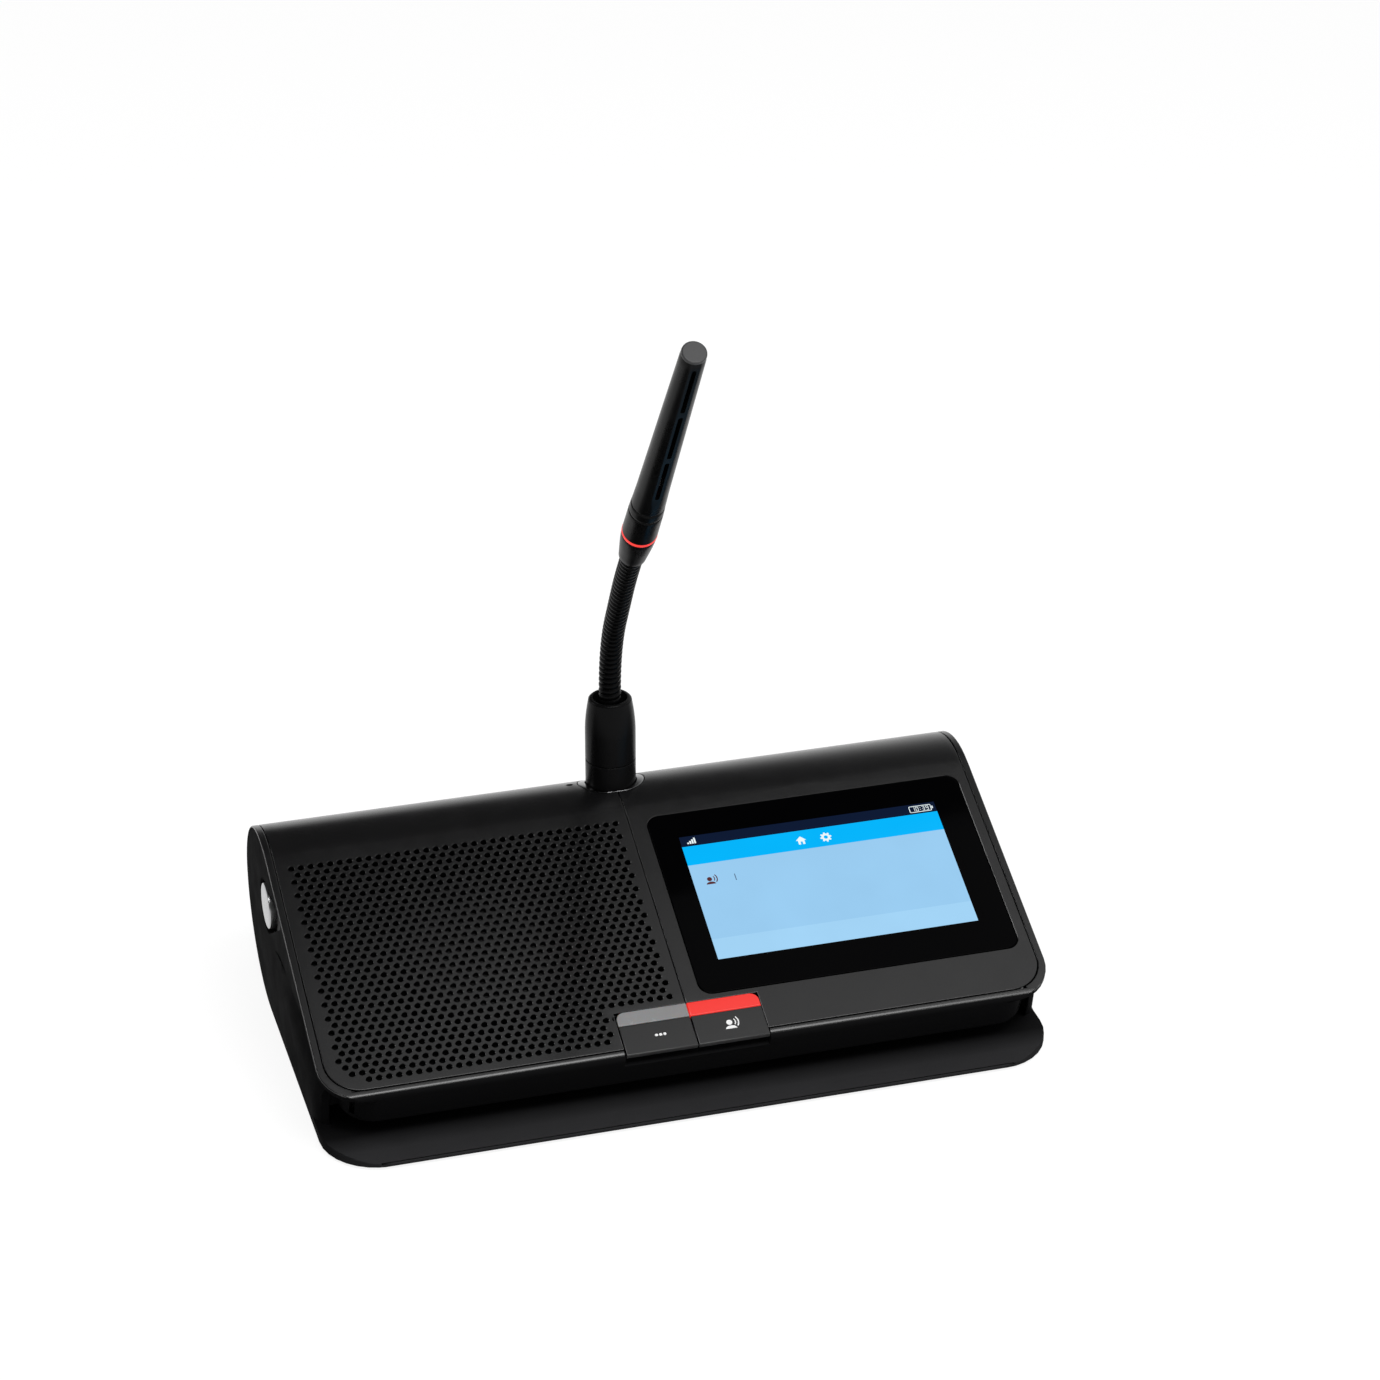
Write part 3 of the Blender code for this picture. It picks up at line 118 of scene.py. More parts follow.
# Touch glass and what it shows
glass_middle = (64.3 * mm, 59.7 * mm)
glass_size = (116 * mm, 77.8 * mm)
glass_corner = 4.5 * mm
glass_thickness = 1.2 * mm
glass_edge = 0.25 * mm
screen_left = 15.86 * mm
screen_right = 110.9 * mm
screen_low = 34.14 * mm
screen_high = 88.0 * mm
footer_high = 42.8 * mm
body_high = 75.3 * mm
band_high = 83.6 * mm
signal_place = (18.2 * mm, 84.6 * mm)
signal_bar = (0.62 * mm, 0.7 * mm)
signal_step = (0.85 * mm, 0.6 * mm)
clock_box = (101.0 * mm, 109.3 * mm, 84.3 * mm, 87.2 * mm)
clock_corner = 0.5 * mm
clock_line = 0.28 * mm
clock_nub = (109.45 * mm, 109.9 * mm, 85.2 * mm, 86.3 * mm)
clock_digits = ((102.6 * mm, "1"), (104.0 * mm, "0"), (106.3 * mm, "3"), (107.8 * mm, "9"))
clock_middle = 85.75 * mm
colon_left = 105.05 * mm
colon_right = 105.3 * mm
colon_heights = (85.35 * mm, 86.15 * mm)
colon_half = 0.12 * mm
house_place = (58.6 * mm, 79.2 * mm, 1.1)
gear_place = (67.8 * mm, 79.2 * mm, 1.2)
gear_bore = 0.62
person_place = (22.0 * mm, 68.0 * mm, 0.86)
number_place = (30.6 * mm, 67.7 * mm, 1.5)

# Microphone
socket_y = 49 * mm
bezel_radius = 9.75 * mm
bezel_shift = 2.25 * mm
bezel_low = 60 * mm
bezel_drop = 1.0 * mm
bezel_sides = 96
plug_radius = 9.05 * mm
plug_low = 60 * mm
plug_high = 76.8 * mm
plug_edge = 0.3 * mm
plug_sides = 96
spigot_radius = 5.5 * mm
spigot_length = 14 * mm
shell_gap = 0.12 * mm
shell_foot_inset = 0.25 * mm
shell_foot_rise = 0.4 * mm
shell_rim = 0.9 * mm
shell_high = 101 * mm
shell_straight = 88 * mm
shell_top_radius = 7.6 * mm
taper_end = 0.95
taper_power = 1.8
recess_radius = 6.2 * mm
recess_depth = 6 * mm
recess_wall = 0.7 * mm
recess_step = 0.4 * mm
recess_edge = 0.25 * mm
neck_radius = 4 * mm
neck_groove = 3.5 * mm
neck_pitch = 2.2 * mm
neck_rows_per_rib = 12
neck_sides = 40
neck_axis_points = 4001
neck_foot = 95.3 * mm
neck_stretches = ((8, 0), (34.0156, 30.5), (16, 0), (18, 5.2), (8, 0))
neck_split = 50.0156 * mm
neck_length = 84.0156 * mm
collar_length = 15.5 * mm
collar_foot = 4.55 * mm
collar_stations = ((4.8 * mm, 0.25 * mm), (5.25 * mm, 4.65 * mm), (5.75 * mm, 9.3 * mm))
collar_full = 13.95 * mm
collar_bend = 2 * mm
collar_edge = 0.2 * mm
ring_height = 1.2 * mm
ring_lift = 0.1 * mm
ring_radius = 6.2 * mm
ring_steps = (0.35 * mm, 1.05 * mm, 1.4 * mm)
ring_inset = 0.3 * mm
head_radius = 6.1 * mm
head_stations = ((31 * mm, 6.0 * mm), (37 * mm, 5.75 * mm), (46 * mm, 5.5 * mm))
tube_length = 110.1 * mm
tube_tip = 4.3 * mm
tube_wall = 1.4 * mm
slot_half = 0.8 * mm
slot_first = 46.2 * mm
slot_lengths = (22.8 * mm, 24.8 * mm, 24.6 * mm)
slot_bridge = 2.8 * mm
slot_flat = 43 * mm
slot_flat_run = 1.2 * mm
slot_flat_half = 1.75 * mm
slot_end_half = 0.12 * mm
least_station = 0.05 * mm
tip_rounding = 0.25 * mm
groove_heights = (31.3 * mm, 35.8 * mm)
groove_width = 0.3 * mm
groove_depth = 0.35 * mm
cap_steps = ((0.25 * mm, 0.05 * mm), (0.05 * mm, 0.3 * mm), (0.2 * mm, 1.1 * mm), (0.6 * mm, 1.3 * mm))
small_edge = 0.2 * mm
head_sides = 72

# Ends, underside
dial_y = 34.404 * mm
dial_z = 44.417 * mm
dial_radius = 8.2 * mm
dial_rise = 0.5 * mm
dial_dome = 0.35 * mm
dial_depth = 2.8 * mm
dial_edge = 0.15 * mm
dial_sides = 96
dial_stem_radius = 3 * mm
dial_stem_depth = 9.3 * mm
pocket_reach = 15 * mm
pocket_inset = 0.6 * mm
# Painted light on the base's front edge: the heights, then the places along y, where it fades out.
painted_light_heights = (5.2 * mm, 7.0 * mm)
painted_light_places = (-66 * mm, -56 * mm)
battery_edge = 0.5 * mm
plate_edge = 0.25 * mm

# Camera, fitted to the photograph, floor and sky
camera_place = (-0.3139, -1.1402, 0.7466)
camera_right = (0.9609, -0.2768, 0.0012)
camera_forward = (0.2459, 0.8514, -0.4633)
camera_sensor = 36
camera_lens = 102.27
camera_clip = (0.02, 60)
floor_reach = 8
floor_glow = 0.88
sky_turn = 5.8
sky_side = 0.242
sky_held = (0.5, 3.0)
sky_fade = (0.04, 0.62)
sky_least = 0.05


# ---- Shapes

def on_surface(x, run, depth):
    """Points of the console's upper surface. Up to panel_run they lie on the slope, at run along it from its
    front edge; past it they go round the top's circle, by the rest of the run over its radius. Each is
    lowered square to the surface by depth."""
    flat = np.minimum(run, panel_run)
    angle = math.pi / 2 + tilt - (run - flat) / top_radius
    y = top_y + (top_radius - depth) * np.cos(angle) - (panel_run - flat) * math.cos(tilt)
    z = top_z + (top_radius - depth) * np.sin(angle) - (panel_run - flat) * math.sin(tilt)
    return np.stack([x + 0 * y, y, z], axis=-1)


def run_at(y):
    """Run on the rounded top at a place y of the plan: the panel's run plus the arc from the slope's end."""
    return panel_run + top_radius * (math.pi / 2 + tilt - np.arccos((y - top_y) / top_radius))


def arc(x, y, radius, start, end, steps):
    """Points on a circle from one angle in degrees to another, both ends included."""
    a = np.radians(np.linspace(start, end, steps + 1))
    return np.stack([x + radius * np.cos(a), y + radius * np.sin(a)], 1)


def circle(x, y, radius, sides):
    """A closed loop round a circle, its last point one step before the first."""
    return arc(x, y, radius, 0, 360 - 360 / sides, sides - 1)


def rounded_rectangle(left, right, low, high, radius, steps=8):
    """A closed loop: four quarter circles joined by straight sides."""
    return np.concatenate([
        arc(right - radius, high - radius, radius, 0, 90, steps),
        arc(left + radius, high - radius, radius, 90, 180, steps),
        arc(left + radius, low + radius, radius, 180, 270, steps),
        arc(right - radius, low + radius, radius, 270, 360, steps),
    ])


def rectangle(left, right, low, high):
    return np.array([(left, low), (right, low), (right, high), (left, high)])


def eased(line, radius, steps=4):
    """The line with each inner corner rounded: a quadratic curve from radius before the corner to radius
    after it, but never past the middle of a side."""
    line = np.asarray(line, float)
    at = line[1:-1]
    back = line[:-2] - at
    on = line[2:] - at
    back_length = np.linalg.norm(back, axis=1, keepdims=True)
    on_length = np.linalg.norm(on, axis=1, keepdims=True)
    reach = np.broadcast_to(radius, len(at))[:, None]
    start = at + back / back_length * np.minimum(reach, back_length / 2)
    end = at + on / on_length * np.minimum(reach, on_length / 2)
    share = np.linspace(0, 1, steps + 1)[None, :, None]
    curve = (1 - share) ** 2 * start[:, None] + share ** 2 * end[:, None]
    curve = curve + 2 * share * (1 - share) * at[:, None]
    return np.concatenate([line[:1], curve.reshape(-1, 2), line[-1:]])


def grown(loop, by):
    """An anticlockwise loop moved outwards: each corner goes along the sum of its two sides' outward
    normals, over one plus their dot product, so both sides move by the same amount."""
    side = np.roll(loop, -1, 0) - loop
    side = side / np.linalg.norm(side, axis=1, keepdims=True)
    normal = np.stack([side[:, 1], -side[:, 0]], 1)
    before = np.roll(normal, 1, 0)
    return loop + by * (normal + before) / (1 + (normal * before).sum(1, keepdims=True))


def inside(points, loop):
    """Whether each point is in the loop: a ray to its right crosses the loop an odd number of times."""
    x = points[:, :1]
    y = points[:, 1:]
    a = loop
    b = np.roll(loop, -1, 0)
    rise = b[:, 1] - a[:, 1]
    rise = np.where(rise == 0, 1, rise)
    crosses = (a[:, 1] > y) != (b[:, 1] > y)
    at = a[:, 0] + (y - a[:, 1]) * (b[:, 0] - a[:, 0]) / rise
    return (crosses & (x < at)).sum(1) % 2 == 1


def new_object(name, data):
    made = bpy.data.objects.new(name, data)
    bpy.context.scene.collection.objects.link(made)
    return made


def add_piece(name, points, polygons, looks, look_of=None, sharp=40):
    """A mesh object from an array of points and arrays of triangles or quads. Doubles are merged and the
    faces turned outwards."""
    sizes = np.concatenate([np.full(len(p), p.shape[1]) for p in polygons])
    corners = np.concatenate([np.ravel(p) for p in polygons])
    mesh = bpy.data.meshes.new(name)
    mesh.vertices.add(len(points))
    mesh.vertices.foreach_set("co", np.asarray(points, np.float32).ravel())
    mesh.loops.add(len(corners))
    mesh.loops.foreach_set("vertex_index", corners.astype(np.int32))
    mesh.polygons.add(len(sizes))
    mesh.polygons.foreach_set("loop_start", (np.cumsum(sizes) - sizes).astype(np.int32))
    if look_of is not None:
        mesh.polygons.foreach_set("material_index", np.asarray(look_of, np.int32))
    mesh.update(calc_edges=True)
    for look in looks if isinstance(looks, (list, tuple)) else [looks]:
        mesh.materials.append(look)
    work = bmesh.new()
    work.from_mesh(mesh)
    bmesh.ops.remove_doubles(work, verts=work.verts, dist=same_place)
    bmesh.ops.dissolve_degenerate(work, edges=work.edges, dist=same_place)
    bmesh.ops.recalc_face_normals(work, faces=work.faces)
    work.to_mesh(mesh)
    work.free()
    return soften(new_object(name, mesh), sharp)


def soften(made, sharp=40):
    """Smooth shading, sharp where two faces meet at more than that angle, with large faces leading."""
    made.data.shade_smooth()
    made.data.set_sharp_from_angle(angle=math.radians(sharp))
    weighted = made.modifiers.new("weighted", "WEIGHTED_NORMAL")
    weighted.keep_sharp = True
    weighted.weight = 50
    return made


def joined(name, *parts):
    """One object with the meshes of several, which it replaces."""
    work = bmesh.new()
    looks = []
    for part in parts:
        start = len(work.faces)
        work.from_mesh(part.data)
        work.faces.ensure_lookup_table()
        shift = len(looks)
        looks += list(part.data.materials)
        for face in work.faces[start:]:
            face.material_index += shift
    mesh = bpy.data.meshes.new(name)
    work.to_mesh(mesh)
    work.free()
    for look in looks:
        mesh.materials.append(look)
    for part in parts:
        bpy.data.objects.remove(part, do_unlink=True)
    return soften(new_object(name, mesh))


def grid_faces(rows, columns, closed_rows=False, closed_columns=True):
    """Quads between neighbouring rows and columns of a grid of points."""
    i = np.arange(rows if closed_rows else rows - 1)[:, None]
    j = np.arange(columns if closed_columns else columns - 1)[None, :]
    i_next = (i + 1) % rows
    j_next = (j + 1) % columns
    quads = [i * columns + j, i * columns + j_next, i_next * columns + j_next, i_next * columns + j]
    return np.stack(quads, -1).reshape(-1, 4)


def turned(name, profile, place, look, sides=64, sharp=40):
    """A surface of revolution: the profile's radius and height, turned by an angle a round the place's
    third axis, give the point (radius cos a, radius sin a, height)."""
    profile = np.asarray(profile, float)
    a = np.linspace(0, 2 * math.pi, sides, endpoint=False)
    radius = profile[:, :1]
    points = np.stack([radius * np.cos(a), radius * np.sin(a), profile[:, 1:] + 0 * a], -1).reshape(-1, 3)
    return add_piece(name, moved(points, place), [grid_faces(len(profile), sides)], look, sharp=sharp)


def moved(points, place):
    """The points in that frame, a rotation and then a shift."""
    m = np.array(place)
    return points @ m[:3, :3].T + m[:3, 3]


def plate(name, outline, holes, place, thickness, edge, hole_rim, looks, inlays=(), free=None, steps=3,
          wall_look=0):
    """A sheet of one thickness with rounded edges. Its top is a triangulation of the outline and the holes
    in two coordinates, carried to space by place(u, v, depth). Round every loop a quarter circle goes from
    the top to the wall, then the wall goes down to the underside, which has the top's triangles reversed.
    An inlay is a loop on the top whose triangles take another look, as the holes' walls may."""
    phi = np.linspace(0, math.pi / 2, steps + 1)
    loops = [grown(outline, -edge)] + [grown(hole, hole_rim) for hole in holes]
    extra = [loop for loop, look in inlays]
    flat = np.concatenate(loops + extra + ([free] if free is not None else []))
    edges = []
    owner = np.full(len(flat), -1)
    start = 0
    for k, loop in enumerate(loops + extra):
        index = start + np.arange(len(loop))
        edges += list(zip(index.tolist(), np.roll(index, -1).tolist()))
        if k < len(loops):
            owner[index] = k
        start += len(loop)
    per_metre = 1000.0
    made = delaunay_2d_cdt([Vector(p) for p in (flat * per_metre).tolist()], edges, [], 0, 1e-5)
    uv = np.array([v[:] for v in made[0]]) / per_metre
    triangles = np.array(made[2])
    to_out = np.zeros(len(flat), int)
    out_owner = np.full(len(uv), -1)
    for out, sources in enumerate(made[3]):
        for source in sources:
            to_out[source] = out
            if owner[source] >= 0:
                out_owner[out] = owner[source]
    middle = uv[triangles].mean(1)
    keep = inside(middle, loops[0])
    own = out_owner[triangles]
    keep &= ~((own[:, 0] > 0) & (own[:, 0] == own[:, 1]) & (own[:, 0] == own[:, 2]))
    triangles = triangles[keep]
    middle = middle[keep]
    look_of = np.zeros(len(triangles), int)
    for loop, look in inlays:
        look_of[inside(middle, loop)] = look
    count = len(uv)
    points = [place(uv[:, 0], uv[:, 1], np.zeros(count))]
    low = uv.copy()
    quads = []
    quad_looks = []
    total = count
    start = 0
    for k, true_loop in enumerate([outline] + list(holes)):
        n = len(true_loop)
        ring = to_out[start:start + n]
        start += n
        low[ring] = true_loop
        rim = edge if k == 0 else hole_rim
        sign = -1 if k == 0 else 1
        turn = phi[1:] if k == 0 or hole_rim > one_step_rim else phi[-1:]
        for p in turn:
            level = grown(true_loop, sign * rim * (1 - math.sin(p)))
            points.append(place(level[:, 0], level[:, 1], np.full(n, rim * (1 - math.cos(p)))))
            fresh = total + np.arange(n)
            quads.append(np.stack([ring, np.roll(ring, -1), np.roll(fresh, -1), fresh], 1))
            quad_looks.append(np.zeros(n, int))
            ring = fresh
            total += n
        quads.append(("wall", ring, to_out[start - n:start]))
        quad_looks.append(np.full(n, wall_look if k else 0))
    points.append(place(low[:, 0], low[:, 1], np.full(count, thickness)))
    walls_filled = []
    for quad in quads:
        if isinstance(quad, tuple):
            top_ring, low_ring = quad[1], quad[2] + total
            quad = np.stack([top_ring, np.roll(top_ring, -1), np.roll(low_ring, -1), low_ring], 1)
        walls_filled.append(quad)
    quads = np.concatenate(walls_filled)
    polygons = [triangles, triangles[:, ::-1] + total, quads]
    look_of = np.concatenate([look_of, np.zeros(len(triangles), int), *quad_looks])
    return add_piece(name, np.concatenate(points), polygons, looks, look_of)


# ---- Finishes

def new_look(name):
    look = bpy.data.materials.new(name)
    look.use_nodes = True
    return look, look.node_tree, look.node_tree.nodes["Principled BSDF"]


def link(tree, source, target):
    tree.links.new(source, target)


def add_node(tree, kind, **values):
    """A node with its properties and the default values of its sockets, whose names have _ for a space."""
    made = tree.nodes.new(kind)
    for key, value in values.items():
        if hasattr(made, key):
            setattr(made, key, value)
        else:
            made.inputs[key.replace("_", " ")].default_value = value
    return made


def worked(tree, operation, *values):
    """The result of a Math node, whose values are numbers or sockets."""
    made = add_node(tree, "ShaderNodeMath", operation=operation)
    for target, value in zip(made.inputs, values):
        if isinstance(value, (int, float)):
            target.default_value = value
        else:
            link(tree, value, target)
    return made.outputs[0]


def faded(tree, value, start, stop, high, low, **values):
    """The result of a Map Range node: high at start, low at stop."""
    ends = {"From_Min": start, "From_Max": stop, "To_Min": high, "To_Max": low}
    made = add_node(tree, "ShaderNodeMapRange", **ends, **values)
    link(tree, value, made.inputs["Value"])
    return made.outputs["Result"]


def noise(tree, place, **values):
    made = add_node(tree, "ShaderNodeTexNoise", **values)
    link(tree, place, made.inputs["Vector"])
    return made.outputs["Fac"]


def object_place(tree):
    return add_node(tree, "ShaderNodeTexCoord").outputs["Object"]


def between_colours(tree, share, low, high):
    """A colour between two, each channel at most 1."""
    made = add_node(tree, "ShaderNodeMix", data_type="RGBA")
    share_in, low_in, high_in, colour_out = made.inputs[0], made.inputs[6], made.inputs[7], made.outputs[2]
    low_in.default_value = (*low, 1)
    high_in.default_value = (*[min(1, c) for c in high], 1)
    link(tree, share, share_in)
    return colour_out


def finish_look(name, colour, roughness, metallic=0.0, grain=2600.0, depth=0.02, mottle=0.25, smudge=0.12,
                specular=0.5):
    """A surface with fine grain in its relief, depth millimetres high, a slow mottling of its colour and
    smudges in its gloss, both as shares of the plain value."""
    look, tree, shader = new_look(name)
    place = object_place(tree)
    slow = noise(tree, place, Scale=90.0, Detail=5.0, Roughness=0.6)
    fine = noise(tree, place, Scale=grain, Detail=3.0, Roughness=0.6)
    share = worked(tree, "MULTIPLY_ADD", slow, 0.5, worked(tree, "MULTIPLY", fine, 0.5))
    tones = between_colours(tree, share, [c * (1 - mottle) for c in colour], [c * (1 + mottle) for c in colour])
    link(tree, tones, shader.inputs["Base Color"])
    smooth = max(0.02, roughness * (1 - smudge))
    rough = min(1.0, roughness * (1 + smudge))
    link(tree, faded(tree, slow, 0.3, 0.7, smooth, rough), shader.inputs["Roughness"])
    bump = add_node(tree, "ShaderNodeBump", Strength=1.0, Distance=depth * mm)
    link(tree, fine, bump.inputs["Height"])
    link(tree, bump.outputs["Normal"], shader.inputs["Normal"])
    shader.inputs["Metallic"].default_value = metallic
    shader.inputs["Specular IOR Level"].default_value = specular
    return look


def glowing(name, colour, strength, base, roughness=0.05, specular=0.02):
    """A lit surface under gloss: its glow varies a little in fine rows and columns, as a panel's does."""
    look, tree, shader = new_look(name)
    place = object_place(tree)
    cells = add_node(tree, "ShaderNodeTexVoronoi", Scale=5200.0, Randomness=0.0)
    link(tree, place, cells.inputs["Vector"])
    slow = noise(tree, place, Scale=40.0, Detail=2.0)
    share = worked(tree, "MULTIPLY_ADD", cells.outputs["Distance"], 0.25, slow)
    tones = between_colours(tree, share, [c * 0.93 for c in colour], [c * 1.05 for c in colour])
    link(tree, tones, shader.inputs["Emission Color"])
    shader.inputs["Emission Strength"].default_value = strength
    shader.inputs["Base Color"].default_value = (*base, 1)
    shader.inputs["Roughness"].default_value = roughness
    shader.inputs["Specular IOR Level"].default_value = specular
    return look


def painted_light_foot(look, times):
    """Paints light into a look's colour: lighter by that factor at the front edge of the base, standing in for
    the light and sheen that fall there, so it is darker behind, where the tray shades the base: where z is
    under 6 mm and y under -60 mm, with soft ends."""
    tree = look.node_tree
    shader = tree.nodes["Principled BSDF"]
    source = shader.inputs["Base Color"].links[0].from_socket
    parts = add_node(tree, "ShaderNodeSeparateXYZ")
    link(tree, object_place(tree), parts.inputs[0])
    low = faded(tree, parts.outputs["Z"], *painted_light_heights, 1.0, 0.0)
    front = faded(tree, parts.outputs["Y"], *painted_light_places, 1.0, 0.0)
    factor = worked(tree, "MULTIPLY_ADD", worked(tree, "MULTIPLY", low, front), times - 1, 1.0)
    scaled = add_node(tree, "ShaderNodeVectorMath", operation="SCALE")
    link(tree, source, scaled.inputs[0])
    link(tree, factor, scaled.inputs["Scale"])
    link(tree, scaled.outputs[0], shader.inputs["Base Color"])
    return look


housing_look = finish_look("moulded_black", (0.008, 0.008, 0.0084), 0.8, depth=0.009, specular=0.012)
# Painted light: the housing's colour is 3.5 times lighter at the base's front edge, where light and sheen fall.
painted_light_foot(housing_look, 3.5)
rim_look = finish_look("moulded_rim", (0.005, 0.005, 0.0053), 0.24, depth=0.006)
skin_look = finish_look("painted_skin", (0.005, 0.005, 0.0053), 0.21, depth=0.006)
# Near-black look for the skins' hole walls and the dials' pockets: painted shade in these recesses.
painted_shade_look = finish_look("recess_painted_shade", (0.0015, 0.0015, 0.0015), 0.6, depth=0.004, specular=0.08)
key_look = finish_look("key_plastic", (0.014, 0.014, 0.0143), 0.32, depth=0.008)
glass_look = finish_look(
    "black_glass", (0.0008, 0.0008, 0.001), 0.05, grain=900, depth=0.0003, smudge=0.5, specular=0.02
)
print_look = finish_look("white_print", (0.97, 0.97, 0.97), 0.4, mottle=0.02)
clear_bar_look = finish_look("frosted_bar", (0.26, 0.26, 0.263), 0.25, mottle=0.1, depth=0.004)
clear_bar_shader = clear_bar_look.node_tree.nodes["Principled BSDF"]
clear_bar_shader.inputs["Subsurface Weight"].default_value = 0.3
clear_bar_shader.inputs["Subsurface Scale"].default_value = 2 * mm
red_bar_look = glowing("red_light_bar", (1.0, 0.036, 0.026), 0.75, (0.2, 0.008, 0.008), 0.25, 0.4)
ring_look = glowing("red_ring", (1.0, 0.05, 0.04), 0.9, (0.5, 0.01, 0.01), 0.3, 0.5)
bezel_look = finish_look("bright_trim", (0.22, 0.222, 0.225), 0.10, metallic=1.0, mottle=0.05, depth=0.002)
mic_look = finish_look("microphone_black", (0.004, 0.004, 0.0042), 0.28, depth=0.006, grain=3200, specular=0.07)
neck_look = finish_look("gooseneck_black", (0.0025, 0.0025, 0.0027), 0.28, depth=0.01, specular=0.06)
end_look = finish_look("end_disc", (0.036, 0.036, 0.037), 0.42, depth=0.01)
dial_look = finish_look("dial_metal", (0.46, 0.465, 0.47), 0.30, metallic=0.85, mottle=0.05, depth=0.004)
battery_look = finish_look("battery_case", (0.009, 0.009, 0.0095), 0.42, depth=0.02, grain=1800)
plate_look = finish_look("painted_plate", (0.010, 0.010, 0.010), 0.5, depth=0.03, grain=1600)
rubber_look = finish_look("foot_rubber", (0.018, 0.018, 0.018), 0.8, depth=0.05, grain=1500)
steel_look = finish_look("steel", (0.45, 0.45, 0.46), 0.3, metallic=1.0, mottle=0.08, depth=0.004)
brass_look = finish_look("contact_brass", (0.75, 0.56, 0.27), 0.3, metallic=1.0, mottle=0.08, depth=0.004)
board_look = finish_look("circuit_board", (0.02, 0.11, 0.05), 0.45, mottle=0.3, grain=500, depth=0.03)
basket_look = finish_look("speaker_basket", (0.04, 0.04, 0.042), 0.45, metallic=0.5, depth=0.02)
cone_look = finish_look("speaker_cone", (0.03, 0.03, 0.03), 0.8, grain=900, depth=0.08)
magnet_look = finish_look("speaker_magnet", (0.09, 0.09, 0.10), 0.5, metallic=0.6, depth=0.03)
socket_look = finish_look("socket_plastic", (0.010, 0.010, 0.010), 0.45, depth=0.02)
display_look = finish_look("display_module", (0.10, 0.11, 0.12), 0.3, mottle=0.1, depth=0.01)
switch_look = finish_look("switch_body", (0.05, 0.05, 0.05), 0.5, depth=0.02)

screen_colours = {
    "screen_status_bar": (0.004, 0.010, 0.032),
    "screen_band": (0.0008, 0.46, 0.98),
    "screen_body": (0.32, 0.60, 0.87),
    "screen_footer": (0.36, 0.65, 0.91),
    "screen_white": (0.85, 0.95, 1.0),
    "screen_red_brown": (0.10, 0.028, 0.03),
    "screen_slate": (0.07, 0.10, 0.16),
}
screen_looks = [glowing(name, colour, 1.0, (0.001, 0.001, 0.002)) for name, colour in screen_colours.items()]
navy, azure, sky, pale, white, dark, slate = range(1, len(screen_looks) + 1)


# ---- Console

def below_surface(y, z):
    """How far points lie under the console's upper surface: square to the slope up to panel_run, and from
    the top's circle past it."""
    front_y = top_y - top_radius * math.sin(tilt) - panel_run * math.cos(tilt)
    front_z = top_z + top_radius * math.cos(tilt) - panel_run * math.sin(tilt)
    run = (y - front_y) * math.cos(tilt) + (z - front_z) * math.sin(tilt)
    rise = (z - front_z) * math.cos(tilt) - (y - front_y) * math.sin(tilt)
    return np.where(run < panel_run, -rise, top_radius - np.hypot(y - top_y, z - top_z))


def merged_copy(name, node, width, look, segments=2, sharp=35, top_look=None):
    """The node's own surface with its doubles merged and flat neighbours joined, its edges rounded. What
    lies on the console's upper surface can have a look of its own, with its outer edges rounded more, and
    then the dials' pockets take a near-black look, which is painted shade in those recesses."""
    work = bmesh.new()
    work.from_mesh(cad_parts[node].data)
    bmesh.ops.remove_doubles(work, verts=work.verts, dist=same_corner)
    bmesh.ops.dissolve_limit(work, angle_limit=flat_within, verts=work.verts, edges=work.edges)
    weights = work.edges.layers.float.new("bevel_weight_edge")
    for edge in work.edges:
        if len(edge.link_faces) != 2 or edge.calc_face_angle(0) < math.radians(sharp):
            continue
        ends = np.array([corner.co[:] for corner in edge.verts])
        on_rim = np.all(np.abs(below_surface(ends[:, 1], ends[:, 2])) < on_rim_within)
        on_rim = on_rim and np.all(np.abs(ends[:, 0]) > half_width - on_rim_within)
        edge[weights] = 1.0 if top_look and on_rim else width / rim_rounding
    mesh = bpy.data.meshes.new(name)
    work.to_mesh(mesh)
    work.free()
    if "custom_normal" in mesh.attributes:
        mesh.attributes.remove(mesh.attributes["custom_normal"])
    mesh.materials.clear()
    mesh.materials.append(look)
    made = new_object(name, mesh)
    mesh.shade_smooth()
    mesh.set_sharp_from_angle(angle=math.radians(sharp))
    bevel = made.modifiers.new("rounding", "BEVEL")
    bevel.width = rim_rounding
    bevel.segments = segments
    bevel.limit_method = "WEIGHT"
    bevel.use_clamp_overlap = False
    bevel.loop_slide = True
    bevel.harden_normals = True
    if top_look:
        bpy.context.view_layer.update()
        graph = bpy.context.evaluated_depsgraph_get()
        finished = made.evaluated_get(graph)
        mesh = bpy.data.meshes.new_from_object(finished, preserve_all_data_layers=True, depsgraph=graph)
        made.data = mesh
        made.modifiers.clear()
        mesh.materials.append(top_look)
        mesh.materials.append(painted_shade_look)
        x, y, z = np.array([face.center[:] for face in mesh.polygons]).T
        on_top = np.abs(below_surface(y, z)) < top_depth
        pocket = (np.hypot(y - dial_y, z - dial_z) < pocket_reach) & (np.abs(x) < half_width - pocket_inset)
        # The dials' pockets take the near-black look: painted shade.
        mesh.polygons.foreach_set("material_index", np.where(pocket, 2, on_top).astype(np.int32))
    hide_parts(node)
    return made


housing = merged_copy("housing_shell", "main_housing", housing_edge, housing_look, top_look=rim_look)
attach(housing, "console")


